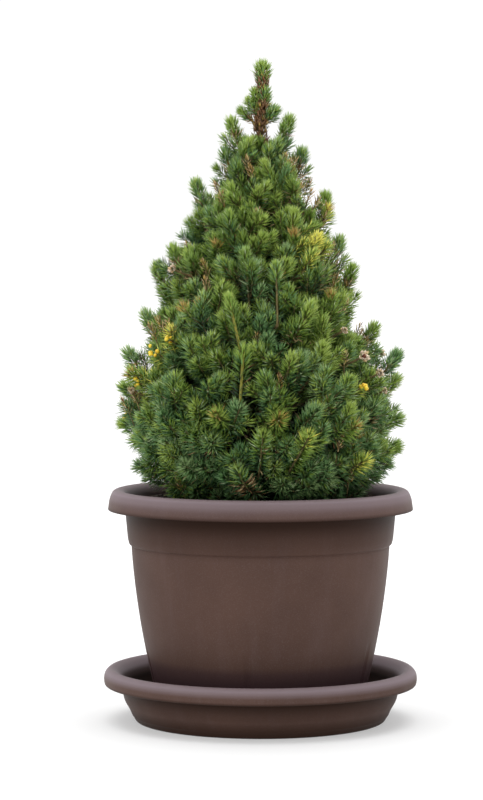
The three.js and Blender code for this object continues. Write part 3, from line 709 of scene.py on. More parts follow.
def leading_shoots(cell, mains):
    """The finer leading shoots of a cell, on a jittered grid over its face."""
    tier = cell.tier
    most = top_of(tier)
    low, high = (polar(cell.middle, *tip_in(tier, up * most, cell.middle)) for up in (0.02, 0.98))
    rows = max(1, round(np.linalg.norm(high - low) / (LEAD_APART * 0.87)))
    standing = len(side_shoots(cell))
    taken = [(polar(*s[:3]), SIDE_CLEAR if i < standing else LEAD_CLEAR) for i, s in enumerate(mains)]
    taken += [(point, FEATURE_CLEAR) for point in feature_points]
    taken += [(on_crown(degrees, height, -8), radius) for degrees, height, radius in HOLLOW_SPOTS]
    found = []
    for row in range(rows):
        span = cell.width * tip_in(tier, (row + 0.5) / rows * most, cell.middle)[0]
        columns = max(1, round(span / LEAD_APART))
        for column in range(columns):
            up = (row + 0.5 + 0.8 * (rng.random() - 0.5)) / rows * most
            place = (column + 0.25 + 0.5 * (row % 2) + 0.7 * (rng.random() - 0.5)) / columns - 0.5
            azimuth = cell.middle + place * cell.width
            reach, height = tip_in(tier, up, azimuth)
            reach -= LEAD_LEAST + (LEAD_MOST - LEAD_LEAST) * rng.random() ** 1.3 + notch(height, azimuth)
            tip = polar(azimuth, reach, height)
            if tier == 0 and rng.random() < SKIRT_THINNED * abs(math.cos(azimuth)) ** 4:
                continue
            if soft_noise(tip[None], HOLLOW_SIZE, HOLLOW_SEED, 1)[0] < HOLLOWS:
                continue
            if all(np.linalg.norm((other - tip) * [1, 1, TALL]) > clear for other, clear in taken):
                found.append((azimuth, reach, height, rise_in(tier, up)))
                taken.append((tip, LEAD_CLEAR))
    return found


INNER_SHARE = (0.3, 0.74)  # how far out the dark inner shoots end, as a share of the crown's reach
INNER_APART, INNER_CROWD, INNER_LEAST = 24, 1.6, 12


def inner_shoots(cell):
    """Short, dark shoots along the boughs that fill the inside of a cell."""
    tier, found = cell.tier, []
    most = top_of(tier)
    outer = tip_in(tier, 0.5 * most, cell.middle)[0]
    tall = height_in(tier, outer * 0.5, most) - height_in(tier, outer * 0.5, 0)
    volume = cell.width * outer * 0.55 * tall * outer * 0.45
    count = round(volume / INNER_APART**3 * INNER_CROWD) + 3
    for _ in range(count):
        up = most * rng.random()
        azimuth = cell.middle + (rng.random() - 0.5) * cell.width
        if tier == 0 and rng.random() < abs(math.cos(azimuth)) ** 4:
            continue
        reach = max(tip_in(tier, up, azimuth)[0] * lerp(*INNER_SHARE, rng.random() ** 0.7), INNER_LEAST)
        found.append((azimuth, reach, height_in(tier, reach, up), rise_in(tier, up)))
    return found


# ---- shoots, twigs and needles

LEAD_LENGTH, BEND_AT = 64, 0.45  # of leading shoots, and the share of it that lies past their bend
LEAN = [(230, 0.2), (262, 0.7), (300, 1.4), (345, 2.2), (385, 3.0), (550, 4.4)]  # slope of the tips by height
STANDING_LEAN = [(230, 0), (262, 0.2), (295, 0.3), (332, 0.9), (371, 1.3), (406, 2.2), (450, 4), (550, 6)]
LEAN_VARIES, JITTER, STANDING_JITTER = 0.45, 0.28, 0.35
TIP_NEEDLES = 8  # how far the needles reach past a stem's tip
GOLDEN = math.pi * (3 - math.sqrt(5))

NEEDLE_COLOURS = {
    "tip_warm": (152, 176, 74),
    "fresh_warm": (122, 152, 56),
    "mid_warm": (96, 126, 44),
    "deep_warm": (72, 100, 36),
    "tip_cool": (138, 168, 106),
    "fresh_cool": (102, 142, 82),
    "mid_cool": (76, 116, 64),
    "deep_cool": (56, 90, 54),
    "shade": (38, 56, 34),
    # pale bluish needles: partly the real pale bands of spruce needles, partly a painted glint
    "pale": (176, 194, 146),
    "yellow": (232, 228, 100),
    "rust": (178, 148, 74),
    "dry": (128, 92, 58),
    "tan": (204, 176, 128),
    "petal": (232, 212, 186),
}
TONES = ["shade", "deep", "mid", "fresh", "tip"]  # from the inside of the crown to its tips
TONE_STEPS = [0.16, 0.4, 0.64, 0.88]
DRY_COLOURS = ["rust", "dry", "tan"]
NEEDLE_ROUGHNESS = 0.42
NEEDLES_A_PIECE = 49000

needle_parts = {name: [] for name in NEEDLE_COLOURS}
twig_parts, pale_twig_parts, bough_parts, bud_parts, core_parts = [], [], [], [], []

CLUB = 16  # usual length of the fresh, dense end of a shoot


def line_length(root, bend, tip):
    return np.linalg.norm(bend - root, axis=1) + np.linalg.norm(tip - bend, axis=1)


class Shoots:
    """Many curved shoots, each from its root over its bend to its tip, with what decides how it looks.

    The looks are numbers, mostly from 0 to 1, one for all the shoots or one for each.
    """

    USUAL = dict(fresh=0.5, warm=0.5, open=0, yellow=0, rust=0, dry=0.03, club=CLUB, size=1, girth=0.3)

    def __init__(self, root, bend, tip, **looks):
        self.line, self.tip = (root, bend, tip), tip
        self.length = line_length(root, bend, tip)
        for name, usual in self.USUAL.items():
            setattr(self, name, np.zeros(len(tip)) + looks.get(name, usual))

    def part(self, chosen):
        """Some of the shoots, with their looks."""
        looks = {name: getattr(self, name)[chosen] for name in self.USUAL}
        return Shoots(*(points[chosen] for points in self.line), **looks)

    def below_tip(self, distance):
        """Points on the shoots some distances below their tips, and the way the shoots run there."""
        t = 1 - distance / self.length[:, None]
        return bezier(*self.line, t), bezier_direction(*self.line, t)


def lead_lines(rows, cell, standing=0):
    """Leading shoots from rows of azimuth, reach, height and rise: their tips turn up, their roots lean in.

    The first ones may be those that stand out at the crown's sides.
    """
    azimuth, reach, height, rise = (np.array(column, float) for column in zip(*rows))
    count = len(rows)
    tip = polar(azimuth, reach, height)
    out, side = polar(azimuth, 1, 0), polar(azimuth + np.pi / 2, 1, 0)
    slope = along(LEAN, height) * np.exp(rng.normal(0, LEAN_VARIES, count))
    slope[:standing] = along(STANDING_LEAN, height[:standing])
    jitter = rng.normal(0, JITTER, (count, 2)) * np.hypot(1, slope)[:, None]
    jitter[:standing] *= STANDING_JITTER
    late = unit(out + slope[:, None] * UP + jitter[:, :1] * side + 0.6 * jitter[:, 1:] * out)
    early = unit(out + (0.9 * rise - 0.08)[:, None] * UP + 0.5 * jitter[:, :1] * side)
    length = LEAD_LENGTH * (0.85 + 0.3 * rng.random(count))
    tip = tip - TIP_NEEDLES * late
    bend = tip - late * (BEND_AT * length)[:, None]
    root = bend - early * ((1 - BEND_AT) * length)[:, None]
    return kept_in(cell, root, bend), bend, tip


TRUNK_CLEAR, ROOT_LEAST, SIDE_TIP_LEAST = 5.0, 226, 232  # from the trunk's middle, then lowest heights


def kept_in(cell, root, bend):
    """Roots that would pass the trunk, the bough's end or the soil are drawn back towards their bend."""
    least = BOUGH_END if cell.tier == 0 else TRUNK_CLEAR
    for _ in range(12):
        level = np.linalg.norm(root[:, :2], axis=1)
        wrong = (level < least) | (root[:, 2] < ROOT_LEAST) | ((root * bend)[:, :2].sum(1) < 0)
        root = np.where(wrong[:, None], lerp(root, bend, 0.15), root)
    return root


SIDE_PLACES = [19, 31, 44]  # from the leading shoot's tip to where its side shoots leave it
SIDE_LENGTHS = [19, 25, 31]
SIDE_TURN = 0.72  # radians off the leading shoot
NOTCH_FILL = 6  # side shoots may fill the notches up to this depth


def side_lines(root, bend, tip, bare):
    """Side shoots, left and right in turn, in a plane that is mostly level."""
    n, m = len(tip), len(SIDE_PLACES)
    place = np.array(SIDE_PLACES) + bare[:, None] + rng.normal(0, 2.5, (n, m))
    t = np.clip(1 - place / line_length(root, bend, tip)[:, None], 0.05, 0.95)
    foot = bezier(root, bend, tip, t)
    forward = bezier_direction(root, bend, tip, t)
    hand = np.where((np.arange(m) + (rng.random((n, 1)) > 0.5)) % 2, 0.0, np.pi)
    out = around(forward, rng.normal(0, 0.75, (n, 1)) + hand + rng.normal(0, 0.4, (n, m)))
    turn = (SIDE_TURN + rng.normal(0, 0.16, (n, m)))[..., None]
    reach = (np.array(SIDE_LENGTHS) * (0.75 + 0.5 * rng.random((n, m))))[..., None]
    way = np.cos(turn) * forward + np.sin(turn) * out
    bend_at = foot + 0.5 * reach * way
    tip_at = bend_at + 0.5 * reach * unit(way + 0.6 * forward + 0.25 * UP)
    flat = [a.reshape(-1, 3) for a in (foot, bend_at, tip_at)]
    return within_reach(*flat)


def within_reach(root, bend, tip):
    """Side shoots that would pass the crown's reach or drop onto the rim are shortened, or left out."""
    keep = np.ones(len(tip), bool)
    for i in range(len(tip)):
        for _ in range(4):
            x, y, z = tip[i]
            reach, azimuth = math.hypot(x, y), math.atan2(y, x)
            most = crown_reach(z, azimuth) + 1 - max(0, notch(z, azimuth) - NOTCH_FILL)
            if reach <= most and z > SIDE_TIP_LEAST:
                break
            bend[i], tip[i] = lerp(root[i], bend[i], 0.8), lerp(root[i], tip[i], 0.8)
        else:
            keep[i] = False
    return root[keep], bend[keep], tip[keep]


def between(tables, scaled, open_):
    """A value by the distance from the tip, between tables for a brush (-1), a club (0) and a star (1)."""
    brush, club, star = (along(table, scaled) for table in tables)
    return np.where(open_ < 0, lerp(club, brush, -open_), lerp(club, star, open_))


WOBBLE, TIP_WOBBLE, TIP_REACH = 8, 6, 3  # degrees off their usual angle, and how far from a tip there is more


def needle_field(shoots, count, first, last, draw, crowd=1.35, bias=0.1):
    """Needles along shoots, between two distances from their tips, crowded towards the tips."""
    n = len(shoots.tip)
    j = ((np.arange(count) + draw.random((n, count))) / count) ** crowd
    from_tip = first + (np.minimum(last, shoots.length * 0.97)[:, None] - first) * j
    base, forward = shoots.below_tip(from_tip)
    turn = GOLDEN * np.arange(count) + 2 * np.pi * draw.random((n, 1)) + draw.normal(0, 0.25, (n, count))
    open_, scaled = shoots.open[:, None], from_tip * (CLUB / shoots.club[:, None])
    spread = between(SPREADS, scaled, open_)
    size = between(SIZES, scaled, open_)
    wobble = WOBBLE + TIP_WOBBLE * np.clip(1 - from_tip / TIP_REACH, 0, 1)
    angle = np.radians(np.clip(spread + wobble * draw.normal(0, 1, (n, count)), 2, 100))[..., None]
    out = around(forward, turn)
    base = base + shoots.girth[:, None, None] * draw.uniform(0.4, 1, (n, count, 1)) * out
    way = unit(np.cos(angle) * forward + np.sin(angle) * out + bias * UP)
    length = (size * shoots.size[:, None] * draw.normal(1, 0.11, (n, count)))[..., None]
    return scaled, base, way, forward, length


NEEDLE_CURVE = 0.05  # how far its middle is bent outwards, as a share of its length
NEEDLE_FACES = np.array([[0, 1, 2], [0, 3, 1], [0, 2, 3], [1, 3, 2]])


def needle_solids(base, way, forward, length, width):
    """Each needle as a closed, slightly curved sliver of four faces."""
    side = unit(np.cross(way, forward) + 1e-6)
    out = np.cross(way, side)
    middle = base + 0.46 * length * way + (NEEDLE_CURVE * length + 0.1 * width) * out
    left, right = middle - 0.5 * width * side, middle + 0.5 * width * side
    return np.stack([base, left, right, base + length * way], -2).reshape(-1, 4, 3)


WITHIN_MOUTH, BEYOND_LIP = POT_MOUTH - 3, POT_LIP + 2  # where needles may hang below the rim
LEAST_WITHIN, LEAST_BEYOND, LEAST_OVER_RIM = SOIL_TOP - 3, POT_LIP_HEIGHT - 6, POT_HEIGHT + 0.8


def clear_of_pot(solids):
    """Whether needles stay out of the pot's rim and out of the soil."""
    ends = solids[:, [0, 3]]
    reach = np.linalg.norm(ends[..., :2], axis=-1)
    least = np.where(reach >= BEYOND_LIP, LEAST_BEYOND, LEAST_OVER_RIM)
    least = np.where(reach <= WITHIN_MOUTH, LEAST_WITHIN, least)
    return (ends[..., 2] >= least).all(1)


# Tone by the distance from the tip, how much a shoot's freshness adds to it, and how much it varies
FADE = [(0, 0.92), (9, 0.8), (CLUB, 0.64), (CLUB + 5, 0.46), (36, 0.34), (50, 0.16), (66, 0.0)]
FRESH_TONE, TONE_VARIES = 0.45, 0.1
WARM_TONE, WARM_VARIES = 0.3, 0.14  # how much warmer a lighter needle is, and how much that varies
PALE_SHARE, PALE_TONE, TAN_SHARE = 0.025, 0.3, 0.4  # pale needles from that tone on, partly real pale bands and partly a painted glint; tan ones among the dry
RUST_REACH, YELLOW_REACH = 6, 34  # how far from a tip those colours go


def deal(shoots, scaled, solids, draw):
    """Deals needles out to the colours by their shoot's looks and their distance from its tip."""
    shape = scaled.shape
    chance = draw.random((4, *shape))
    fade = along(FADE, scaled)
    tone = fade + FRESH_TONE * (shoots.fresh[:, None] - 0.5) + draw.normal(0, TONE_VARIES, shape)
    names = np.array(TONES, dtype="<U12")[np.digitize(tone, TONE_STEPS)]
    warm = shoots.warm[:, None] + WARM_TONE * (fade - 0.5) + draw.normal(0, WARM_VARIES, shape) > 0.5
    names = np.where(names == "shade", names, np.char.add(names, np.where(warm, "_warm", "_cool")))
    names = np.where((chance[0] < PALE_SHARE) & (tone > PALE_TONE), "pale", names)
    names = np.where((chance[1] < shoots.rust[:, None]) & (scaled < RUST_REACH), "rust", names)
    old = (chance[2] < shoots.dry[:, None]) & (scaled > CLUB)
    names = np.where(old, np.where(chance[2] < TAN_SHARE * shoots.dry[:, None], "tan", "dry"), names)
    names = np.where((chance[3] < shoots.yellow[:, None]) & (scaled < YELLOW_REACH), "yellow", names).ravel()
    keep = clear_of_pot(solids)
    for name in NEEDLE_COLOURS:
        needle_parts[name].append(solids[(names == name) & keep])


def deal_dry(solids, shares, draw, keep=True):
    """Deals dry slivers out to rust, dry and tan by their shares."""
    names = np.array(DRY_COLOURS)[draw.choice(3, len(solids), p=shares)]
    for colour in DRY_COLOURS:
        needle_parts[colour].append(solids[(names == colour) & keep])


YELLOW_PATCHES = [  # azimuth, height, radius of the patch, share of yellow needles
    (219, 390, 11, 0.8), (211, 374, 11, 0.7), (208, 345, 9, 0.5), (313, 474, 9, 0.5), (319, 329, 8, 0.4),
    (205, 350, 8, 0.4), (330, 300, 9, 0.3), (80, 400, 16, 0.6), (140, 320, 13, 0.6), (25, 360, 12, 0.5),
]


def yellowness(tips):
    share = np.zeros(len(tips))
    for degrees, height, radius, most in YELLOW_PATCHES:
        near = np.linalg.norm(tips - on_crown(degrees, height, -6), axis=1) / radius
        share = np.maximum(share, most * np.clip(1.6 - near, 0, 1))
    return share


# By the distance from the shoot's tip, the needles' angle off it and then their length: brush, club and star
SPREADS = [
    [(0, 14), (4, 36), (10, 48), (16, 52), (21, 40), (30, 50), (64, 60)],
    [(0, 18), (3, 31), (9, 41), (15, 47), (20, 57), (30, 63), (64, 70)],
    [(0, 32), (3, 48), (9, 59), (20, 66), (40, 72), (64, 76)],
]
SIZES = [
    [(0, 9.5), (4, 10.5), (10, 11.0), (16, 10.4), (20, 8.0), (30, 9.0), (64, 10)],
    [(0, 9.2), (3, 10.8), (9, 12.0), (15, 12.0), (20, 12.6), (30, 12.4), (64, 10)],
    [(0, 10.4), (3, 13.0), (9, 14.6), (30, 15.0), (64, 12)],
]
WARMTH = [(235, 0.14), (300, 0.4), (400, 0.5), (500, 0.62)]  # by the tip's height
# Freshness by the tip's height: the low end, darker just over the pot's rim, is painted shade
FRESHNESS_AND_PAINTED_SHADE = [(232, 0.1), (262, 0.5), (500, 0.5), (560, 0.4)]
OPENNESS = [(240, 1.0), (330, 0.75), (430, 0.3), (650, 0.0)]
# Freshness of the dark inner shoots by height, with painted shade: darker lower in the crown
INNER_FRESHNESS_AND_PAINTED_SHADE = [(240, -1.0), (330, -0.6), (420, -0.25)]
WARM_DRIFT, WARM_DRIFT_SIZE, WARM_DRIFT_SEED = 0.36, 45, 31  # slow noise over the crown
FRESH_DRIFT, FRESH_DRIFT_SIZE, FRESH_DRIFT_SEED = 0.45, 36, 41


def looks_of(root, bend, tip):
    """Shoots whose looks vary slowly over the crown, and a little from each to the next."""
    n = len(tip)
    warm, fresh, open_ = (along(table, tip[:, 2]) for table in (WARMTH, FRESHNESS_AND_PAINTED_SHADE, OPENNESS))
    warm = warm + WARM_DRIFT * soft_noise(tip, WARM_DRIFT_SIZE, WARM_DRIFT_SEED, 2)
    fresh = fresh + FRESH_DRIFT * soft_noise(tip, FRESH_DRIFT_SIZE, FRESH_DRIFT_SEED, 2)
    return Shoots(
        root, bend, tip,
        warm=warm + rng.normal(0, 0.18, n),
        fresh=fresh + rng.normal(0, 0.22, n),
        open=np.clip(open_ + rng.normal(0, 0.2, n), 0, 1.1),
        club=CLUB * rng.normal(1, 0.12, n),
        yellow=yellowness(tip),
        rust=np.where(rng.random(n) < 0.03, 0.7, 0),
        dry=np.where(rng.random(n) < 0.12, 0.5, 0.03),
    )


def dress(shoots, fields, seed):
    """Covers shoots with fields of needles: the count, the distances from the tip and the width of each."""
    draw = np.random.default_rng(seed)
    for count, first, last, width in fields:
        scaled, base, way, forward, length = needle_field(shoots, count, first, last, draw)
        deal(shoots, scaled, needle_solids(base, way, forward, length, width), draw)


SCALES, SCALE_WIDTH = 11, 2.2  # brown bud scales round the foot of a club


def add_scales(shoots, seed):
    draw = np.random.default_rng(seed)
    n = len(shoots.tip)
    base, forward = shoots.below_tip(shoots.club[:, None] + draw.normal(1.5, 1.6, (n, SCALES)))
    turn = 2 * np.pi * (np.arange(SCALES) + draw.random((n, SCALES))) / SCALES
    way = unit(forward + 0.55 * around(forward, turn))
    solids = needle_solids(base, way, forward, draw.uniform(4, 7.5, (n, SCALES, 1)), SCALE_WIDTH)
    deal_dry(solids, [0.45, 0.4, 0.15], draw)


def add_twigs(root, bend, tip, thick, thin, sides=4, rings=5, parts=twig_parts):
    t = np.linspace(0, 1, rings)
    radii = lerp(thick, thin, t)[None] + np.zeros((len(tip), 1))
    parts.append(tubes(bezier(root, bend, tip, t), radii, sides))


def add_limbs(starts, ends, radii, sides, lift=0, parts=twig_parts):
    """Limbs between points, arrays (limbs, 3), whose middles are lifted a little."""
    lines = np.stack([starts, lerp(starts, ends, 0.5) + lift * UP, ends], 1)
    parts.append(tubes(lines, np.tile(radii, (len(ends), 1)), sides))


# Needles on each kind of shoot: how many, from and to how far below its tip, and their width
NEEDLE_WIDTH = 1.02
LEAD_FIELDS = [(160, 0, 32, NEEDLE_WIDTH), (56, 32, 70, NEEDLE_WIDTH * 1.3)]
SIDE_FIELDS = [(66, 0, 70, NEEDLE_WIDTH)]
INNER_FIELDS = [(44, 4, 56, NEEDLE_WIDTH * 1.9)]
STANDING_FIELDS = [(160, 0, 14, NEEDLE_WIDTH), (56, 14, 40, NEEDLE_WIDTH), (26, 40, 70, NEEDLE_WIDTH)]

STANDING_OPEN = [(240, 0.6), (300, -0.3), (380, -0.9)]  # the looks of those that stand out, by height
STANDING_CLUB = [(300, 15), (600, 13.5)]
STANDING_SIZE = [(240, 1.0), (300, 1.1), (600, 1.06)]
STANDING_BARE = 10  # how much further down a shoot that stands out has its first side shoot


def dress_standing(clubs, seed):
    """The dense clubs that stand out at the crown's sides, with bud scales round their feet."""
    clubs.fresh = 0.5 + 0.5 * (clubs.fresh - 0.5)
    for name, table in (("open", STANDING_OPEN), ("club", STANDING_CLUB), ("size", STANDING_SIZE)):
        setattr(clubs, name, along(table, clubs.tip[:, 2]))
    clubs.dry[:], clubs.rust[:], clubs.girth[:] = 0.6, 0, 1.6
    dress(clubs, STANDING_FIELDS, seed)
    add_scales(clubs, seed + 1)


def dress_cell(cell, seed):
    """Grows and dresses all shoots of a cell, and gives the roots of those that its bough carries."""
    mains = main_shoots(cell)
    count = len(side_shoots(cell))
    drawn_in = [(a, reach - notch(z, a), z, rise) for a, reach, z, rise in mains[count:]]
    rows = [pushed(shoot) for shoot in mains[:count]] + drawn_in + leading_shoots(cell, mains)
    standing = np.arange(len(rows)) < count
    lines = lead_lines(rows, cell, count)
    leads = looks_of(*lines)
    dress(leads.part(~standing), LEAD_FIELDS, seed)
    if count:
        dress_standing(leads.part(standing), seed + 3)
    add_twigs(*lines, 1.4, 0.6)
    side = side_lines(*lines, STANDING_BARE * standing)
    sides = looks_of(*side)
    sides.fresh -= 0.2
    dress(sides, SIDE_FIELDS, seed + 1)
    add_twigs(*side, 0.8, 0.4, 3, 4)
    inner = lead_lines(inner_shoots(cell), cell)
    dark = looks_of(*inner)
    # Painted shade as well: the inner needles darken lower down
    dark.fresh[:] = along(INNER_FRESHNESS_AND_PAINTED_SHADE, dark.tip[:, 2])
    dark.yellow[:] = 0
    dress(dark, INNER_FIELDS, seed + 2)
    add_twigs(*inner, 1.2, 0.6, 3, 4)
    return np.concatenate([lines[0], inner[0]])


def add_needles():
    """The needles of each colour, joined into pieces that replace the CAD masses."""
    nodes = [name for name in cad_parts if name.startswith(("foliage", "leader_shoot", "top_tuft"))]
    for name, colour in NEEDLE_COLOURS.items():
        solids = np.concatenate(needle_parts[name])
        material = Nodes("needles_" + name, Base_Color=linear(*colour), Roughness=NEEDLE_ROUGHNESS).material
        for i in range(0, len(solids), NEEDLES_A_PIECE):
            part = solids[i : i + NEEDLES_A_PIECE]
            faces = (np.arange(len(part))[:, None, None] * 4 + NEEDLE_FACES).reshape(-1, 3)
            piece_name = f"needles_{name}_{i // NEEDLES_A_PIECE + 1}"
            add_piece(piece_name, part.reshape(-1, 3), faces, material, False, "needles", nodes)


def add_joined(name, parts, material, slot, replaces=()):
    starts = np.cumsum([0] + [len(points) for points, _ in parts])
    faces = [part + start for (_, part), start in zip(parts, starts)]
    points = np.vstack([part for part, _ in parts])
    add_piece(name, points, np.vstack(faces), material, True, slot, replaces)


# ---- boughs that carry the shoots


def low_bough(cell):
    foot = trunk_at(BOUGH_HEIGHT)
    end = polar(cell.middle, BOUGH_END, BOUGH_HEIGHT + BOUGH_RISE * BOUGH_END)
    middle = lerp(foot, end, 0.5) - 1.5 * UP
    return foot, middle, end


def mass_bough(cell):
    """The middle line of a mass's bough, from the trunk to the middle of the mass."""
    tip_reach, _ = tip_in(cell.tier, 0.5, cell.middle)
    inner = tip_reach - SPRAY_LENGTH / math.hypot(1, rise_in(cell.tier, 0.5))
    end = polar(cell.middle, inner, height_in(cell.tier, inner, 0.5))
    if cell.tier == 0:
        return low_bough(cell)[2], end
    foot = trunk_at(lerp(CONES[cell.tier][0], CONES[cell.tier + 1][0], 0.45) + 6)
    return foot, end


FORKS_UP, FORKS_ACROSS, FORK_LEAST = (0.2, 0.5, 0.8), (-0.32, 0, 0.32), 228


def branch(cell, roots):
    """Forks the mass's bough into branches, and joins each shoot's root to the nearest branch."""
    foot, end = mass_bough(cell)
    add_limbs(foot[None], end[None], [3.2 - 0.22 * cell.tier, 2.4, 1.5], 8, -0.8, bough_parts)
    forks = []
    for up in FORKS_UP:
        for place in FORKS_ACROSS:
            azimuth = cell.middle + place * cell.width
            reach = tip_in(cell.tier, up, azimuth)[0] - LEAD_LENGTH / math.hypot(1, rise_in(cell.tier, up))
            reach = max(reach, BOUGH_END + 4 if cell.tier == 0 else 8)
            forks.append(polar(azimuth, reach, max(height_in(cell.tier, reach, up), FORK_LEAST)))
    forks = np.array(forks)
    starts = lerp(foot, end, (0.35 + 0.6 * rng.random(len(forks)))[:, None])
    add_limbs(starts, forks, [1.7, 1.4, 1.2], 5, 0.8)
    nearest = forks[np.argmin(np.linalg.norm(roots[:, None] - forks[None], axis=2), axis=1)]
    add_limbs(nearest, roots, [1.15, 1.05, 1.0], 4)


BOUGH_SIDES, BOUGH_RINGS = 14, 24


def add_low_boughs():
    parts, names = [], []
    t = np.linspace(0, 1, BOUGH_RINGS)
    at = t[:, None]
    for index in range(TIERS[0][1]):
        foot, middle, end = low_bough(Cell(0, index))
        start = lerp(foot, middle, BOUGH_START)
        stations = np.where(at < 0.5, lerp(start, middle, 2 * at), lerp(middle, end, 2 * at - 1))[None]
        relief = bark_relief(stations, BOUGH_SIDES, 0.08, 60 + index)
        parts.append(tubes(stations, lerp(BOUGH_INNER, BOUGH_OUTER, t)[None], BOUGH_SIDES, relief))
        names.append("low_bough_" + chr(ord("a") + index))
    add_joined("low_boughs", parts, BARK, "bark", names)


def add_crown():
    for tier in range(len(TIERS)):
        for index in range(TIERS[tier][1]):
            cell = Cell(tier, index)
            branch(cell, dress_cell(cell, 10000 * tier + 100 * index))


# ---- shoots that catch the eye

FEATURE_CLEAR = 13
CARRIED = 25  # how far below its root the twig that carries it leaves the trunk
FEATURES = [
    # root and tip, each as azimuth, height and reach past the crown's
    # then how far down from the tip the needles go; how open, fresh and warm they are; more looks
    ((-81.4, 394, -7), (-81.3, 450, 3), 15, 0.5, 0.6, 0.45, dict(size=0.84, club=16)),
    ((-98.5, 366, -7), (-106, 419, 1), 15, -0.3, 0.66, 0.8, dict(size=1.0, club=14)),
    ((-98.5, 322, -9), (-97.6, 370, -5), 10, 0.7, 0.45, 0.6, {}),
    ((-106, 296, -36), (-107, 309, 2), 34, 1, 0.6, 0.9, dict(rust=0.5)),
    ((-84, 292, -36), (-83, 306, 2), 34, 1, 0.6, 0.9, dict(rust=0.5)),
    ((-76, 252, -18), (-71, 289, 1), 44, 0.9, 1.0, 1, dict(yellow=0.06)),
    ((-55, 280, -30), (-51, 298, 3), 28, 0.9, 0.6, 0.8, dict(rust=0.4)),
    ((-54, 286, -24), (-53, 315, 4), 24, -0.1, 0.85, 0.8, {}),
    ((-70, 378, -26), (-64, 411, 3), 26, 0.2, 0.85, 0.7, dict(size=1.1, club=20)),
    ((-91, 250, -18), (-89, 290, -1), 44, 0.9, 0.6, 0.5, {}),
    ((-79, 336, -26), (-77, 363, 2), 22, 0.2, 0.8, 0.6, {}),
    ((-121, 246, -34), (-124, 259, 1), 32, 1, 0.75, 0.1, {}),
    ((-80, 232, -36), (-79, 243, -3), 32, 1, 0.7, 0.0, {}),
    ((-67, 234, -36), (-66, 240, -4), 30, 1, 0.65, 0.0, {}),
    ((-97, 400, -30), (-99, 462, 2), 24, 0.1, 0.2, 0.6, {}),
    ((-7, 248, -34), (-5, 255, -4), 32, 1, 0.55, 0.1, {}),
    ((-86, 298, -36), (-86, 329, -3), 36, 0.8, 0.4, 0.3, {}),
    ((-52, 452, -26), (-46, 477, 1), 18, 0.8, 1.0, 1, dict(yellow=0.9, size=0.9)),
    ((-58, 440, -24), (-53, 461, -1), 20, 0.6, 0.9, 1, dict(yellow=0.16, size=0.9)),
    ((-40, 452, -26), (-37, 469, -1), 18, 0.6, 0.9, 1, dict(yellow=0.3, size=0.9)),
    ((-14, 486, -16), (-12, 506, 0), 15, 0.5, 1.0, 1, dict(rust=0.8, yellow=0.4, size=0.85)),
    ((-44, 246, -22), (-42, 264, 1), 22, 0.7, 0.95, 0.9, dict(yellow=0.3)),
    ((-80, 262, -34), (-79, 281, -5), 34, 0.9, 0.3, 0.3, {}),
    ((-64, 272, -34), (-64, 297, -5), 34, 0.9, 0.35, 0.3, {}),
    ((35, 396, -13), (35, 445, -4), 19, 0.45, 0.6, 0.3, dict(size=1.0, club=18)),
    ((82, 330, -36), (84, 346, 2), 32, 1, 0.6, 0.9, dict(rust=0.5)),
    ((120, 425, -9), (122, 470, 0), 20, 0.2, 0.65, 0.6, dict(size=1.0, club=18)),
    ((150, 262, -16), (146, 302, 0), 40, 0.9, 0.85, 0.9, dict(yellow=0.2)),
    ((204, 330, -36), (203, 345, 2), 32, 1, 0.6, 0.9, dict(rust=0.4)),
    ((62, 356, -9), (60, 402, 0), 20, 0, 0.7, 0.8, dict(size=1.0, club=18)),
]
PALE_STEMS = (1, 2)  # which of them have a yellowish stem
NEEDLES_EACH, NEEDLES_PER_MM = 70, 3.6  # on each one's dressed end, and more for each of its millimetres
STEM_PER_MM, PALE_STEM_PER_MM, STEM_LEAST = 1.1, 2.4, 4  # needles on the stem below it
FEATURE_SEED, BUD_SEED, DRY_BUD_SEED, DRY_TUFT_SEED = 93000, 94000, 95000, 96000


def feature_ends():
    """The roots and tips of the shoots that catch the eye."""
    ends = np.array([row[:2] for row in FEATURES], float)
    azimuth, height = np.radians(ends[..., 0]), ends[..., 1]
    reach = np.vectorize(crown_reach)(height, azimuth) + ends[..., 2]
    points = polar(azimuth, reach, height)
    return points[:, 0], points[:, 1]


def feature_curves():
    root, tip = feature_ends()
    return root, lerp(root, tip, 0.5) + 3 * unit(root * [1, 1, 0]), tip


feature_points = bezier(*feature_curves(), np.linspace(0.1, 1, 5)).reshape(-1, 3)


def add_features():
    lines = feature_curves()
    for i, (_, _, dressed, open_, fresh, warm, more) in enumerate(FEATURES):
        line = [points[i : i + 1] for points in lines]
        shoot = Shoots(*line, open=open_, fresh=fresh, warm=warm, **more)
        pale = i in PALE_STEMS
        count = round(NEEDLES_EACH + NEEDLES_PER_MM * dressed)
        rest = round((PALE_STEM_PER_MM if pale else STEM_PER_MM) * (shoot.length[0] - dressed))
        fields = [(count, 0, dressed, NEEDLE_WIDTH), (max(STEM_LEAST, rest), dressed, 80, NEEDLE_WIDTH)]
        dress(shoot, fields, FEATURE_SEED + i)
        if open_ <= 0.1:
            add_scales(shoot, FEATURE_SEED + 500 + i)
        thick, thin, parts = (1.5, 1.3, pale_twig_parts) if pale else (1.2, 0.7, twig_parts)
        add_twigs(*line, thick, thin, 7, 9, parts)
        root = line[0]
        foot = trunk_at(max(root[0, 2] - CARRIED, TRUNK_FOOT + 6))
        add_limbs(foot[None], root, [2.0, 1.8, 1.7], 6)


BUD_CLUSTERS = [  # azimuth and height of groups of yellow buds, and how many stand in each
    (-140, 380, 5), (-148, 366, 5), (-155, 337, 4), (-42, 333, 4), (40, 352, 3), (110, 330, 4), (170, 300, 3),
]
BUD_SIZE, BUD_NEEDLES = 2.2, 80


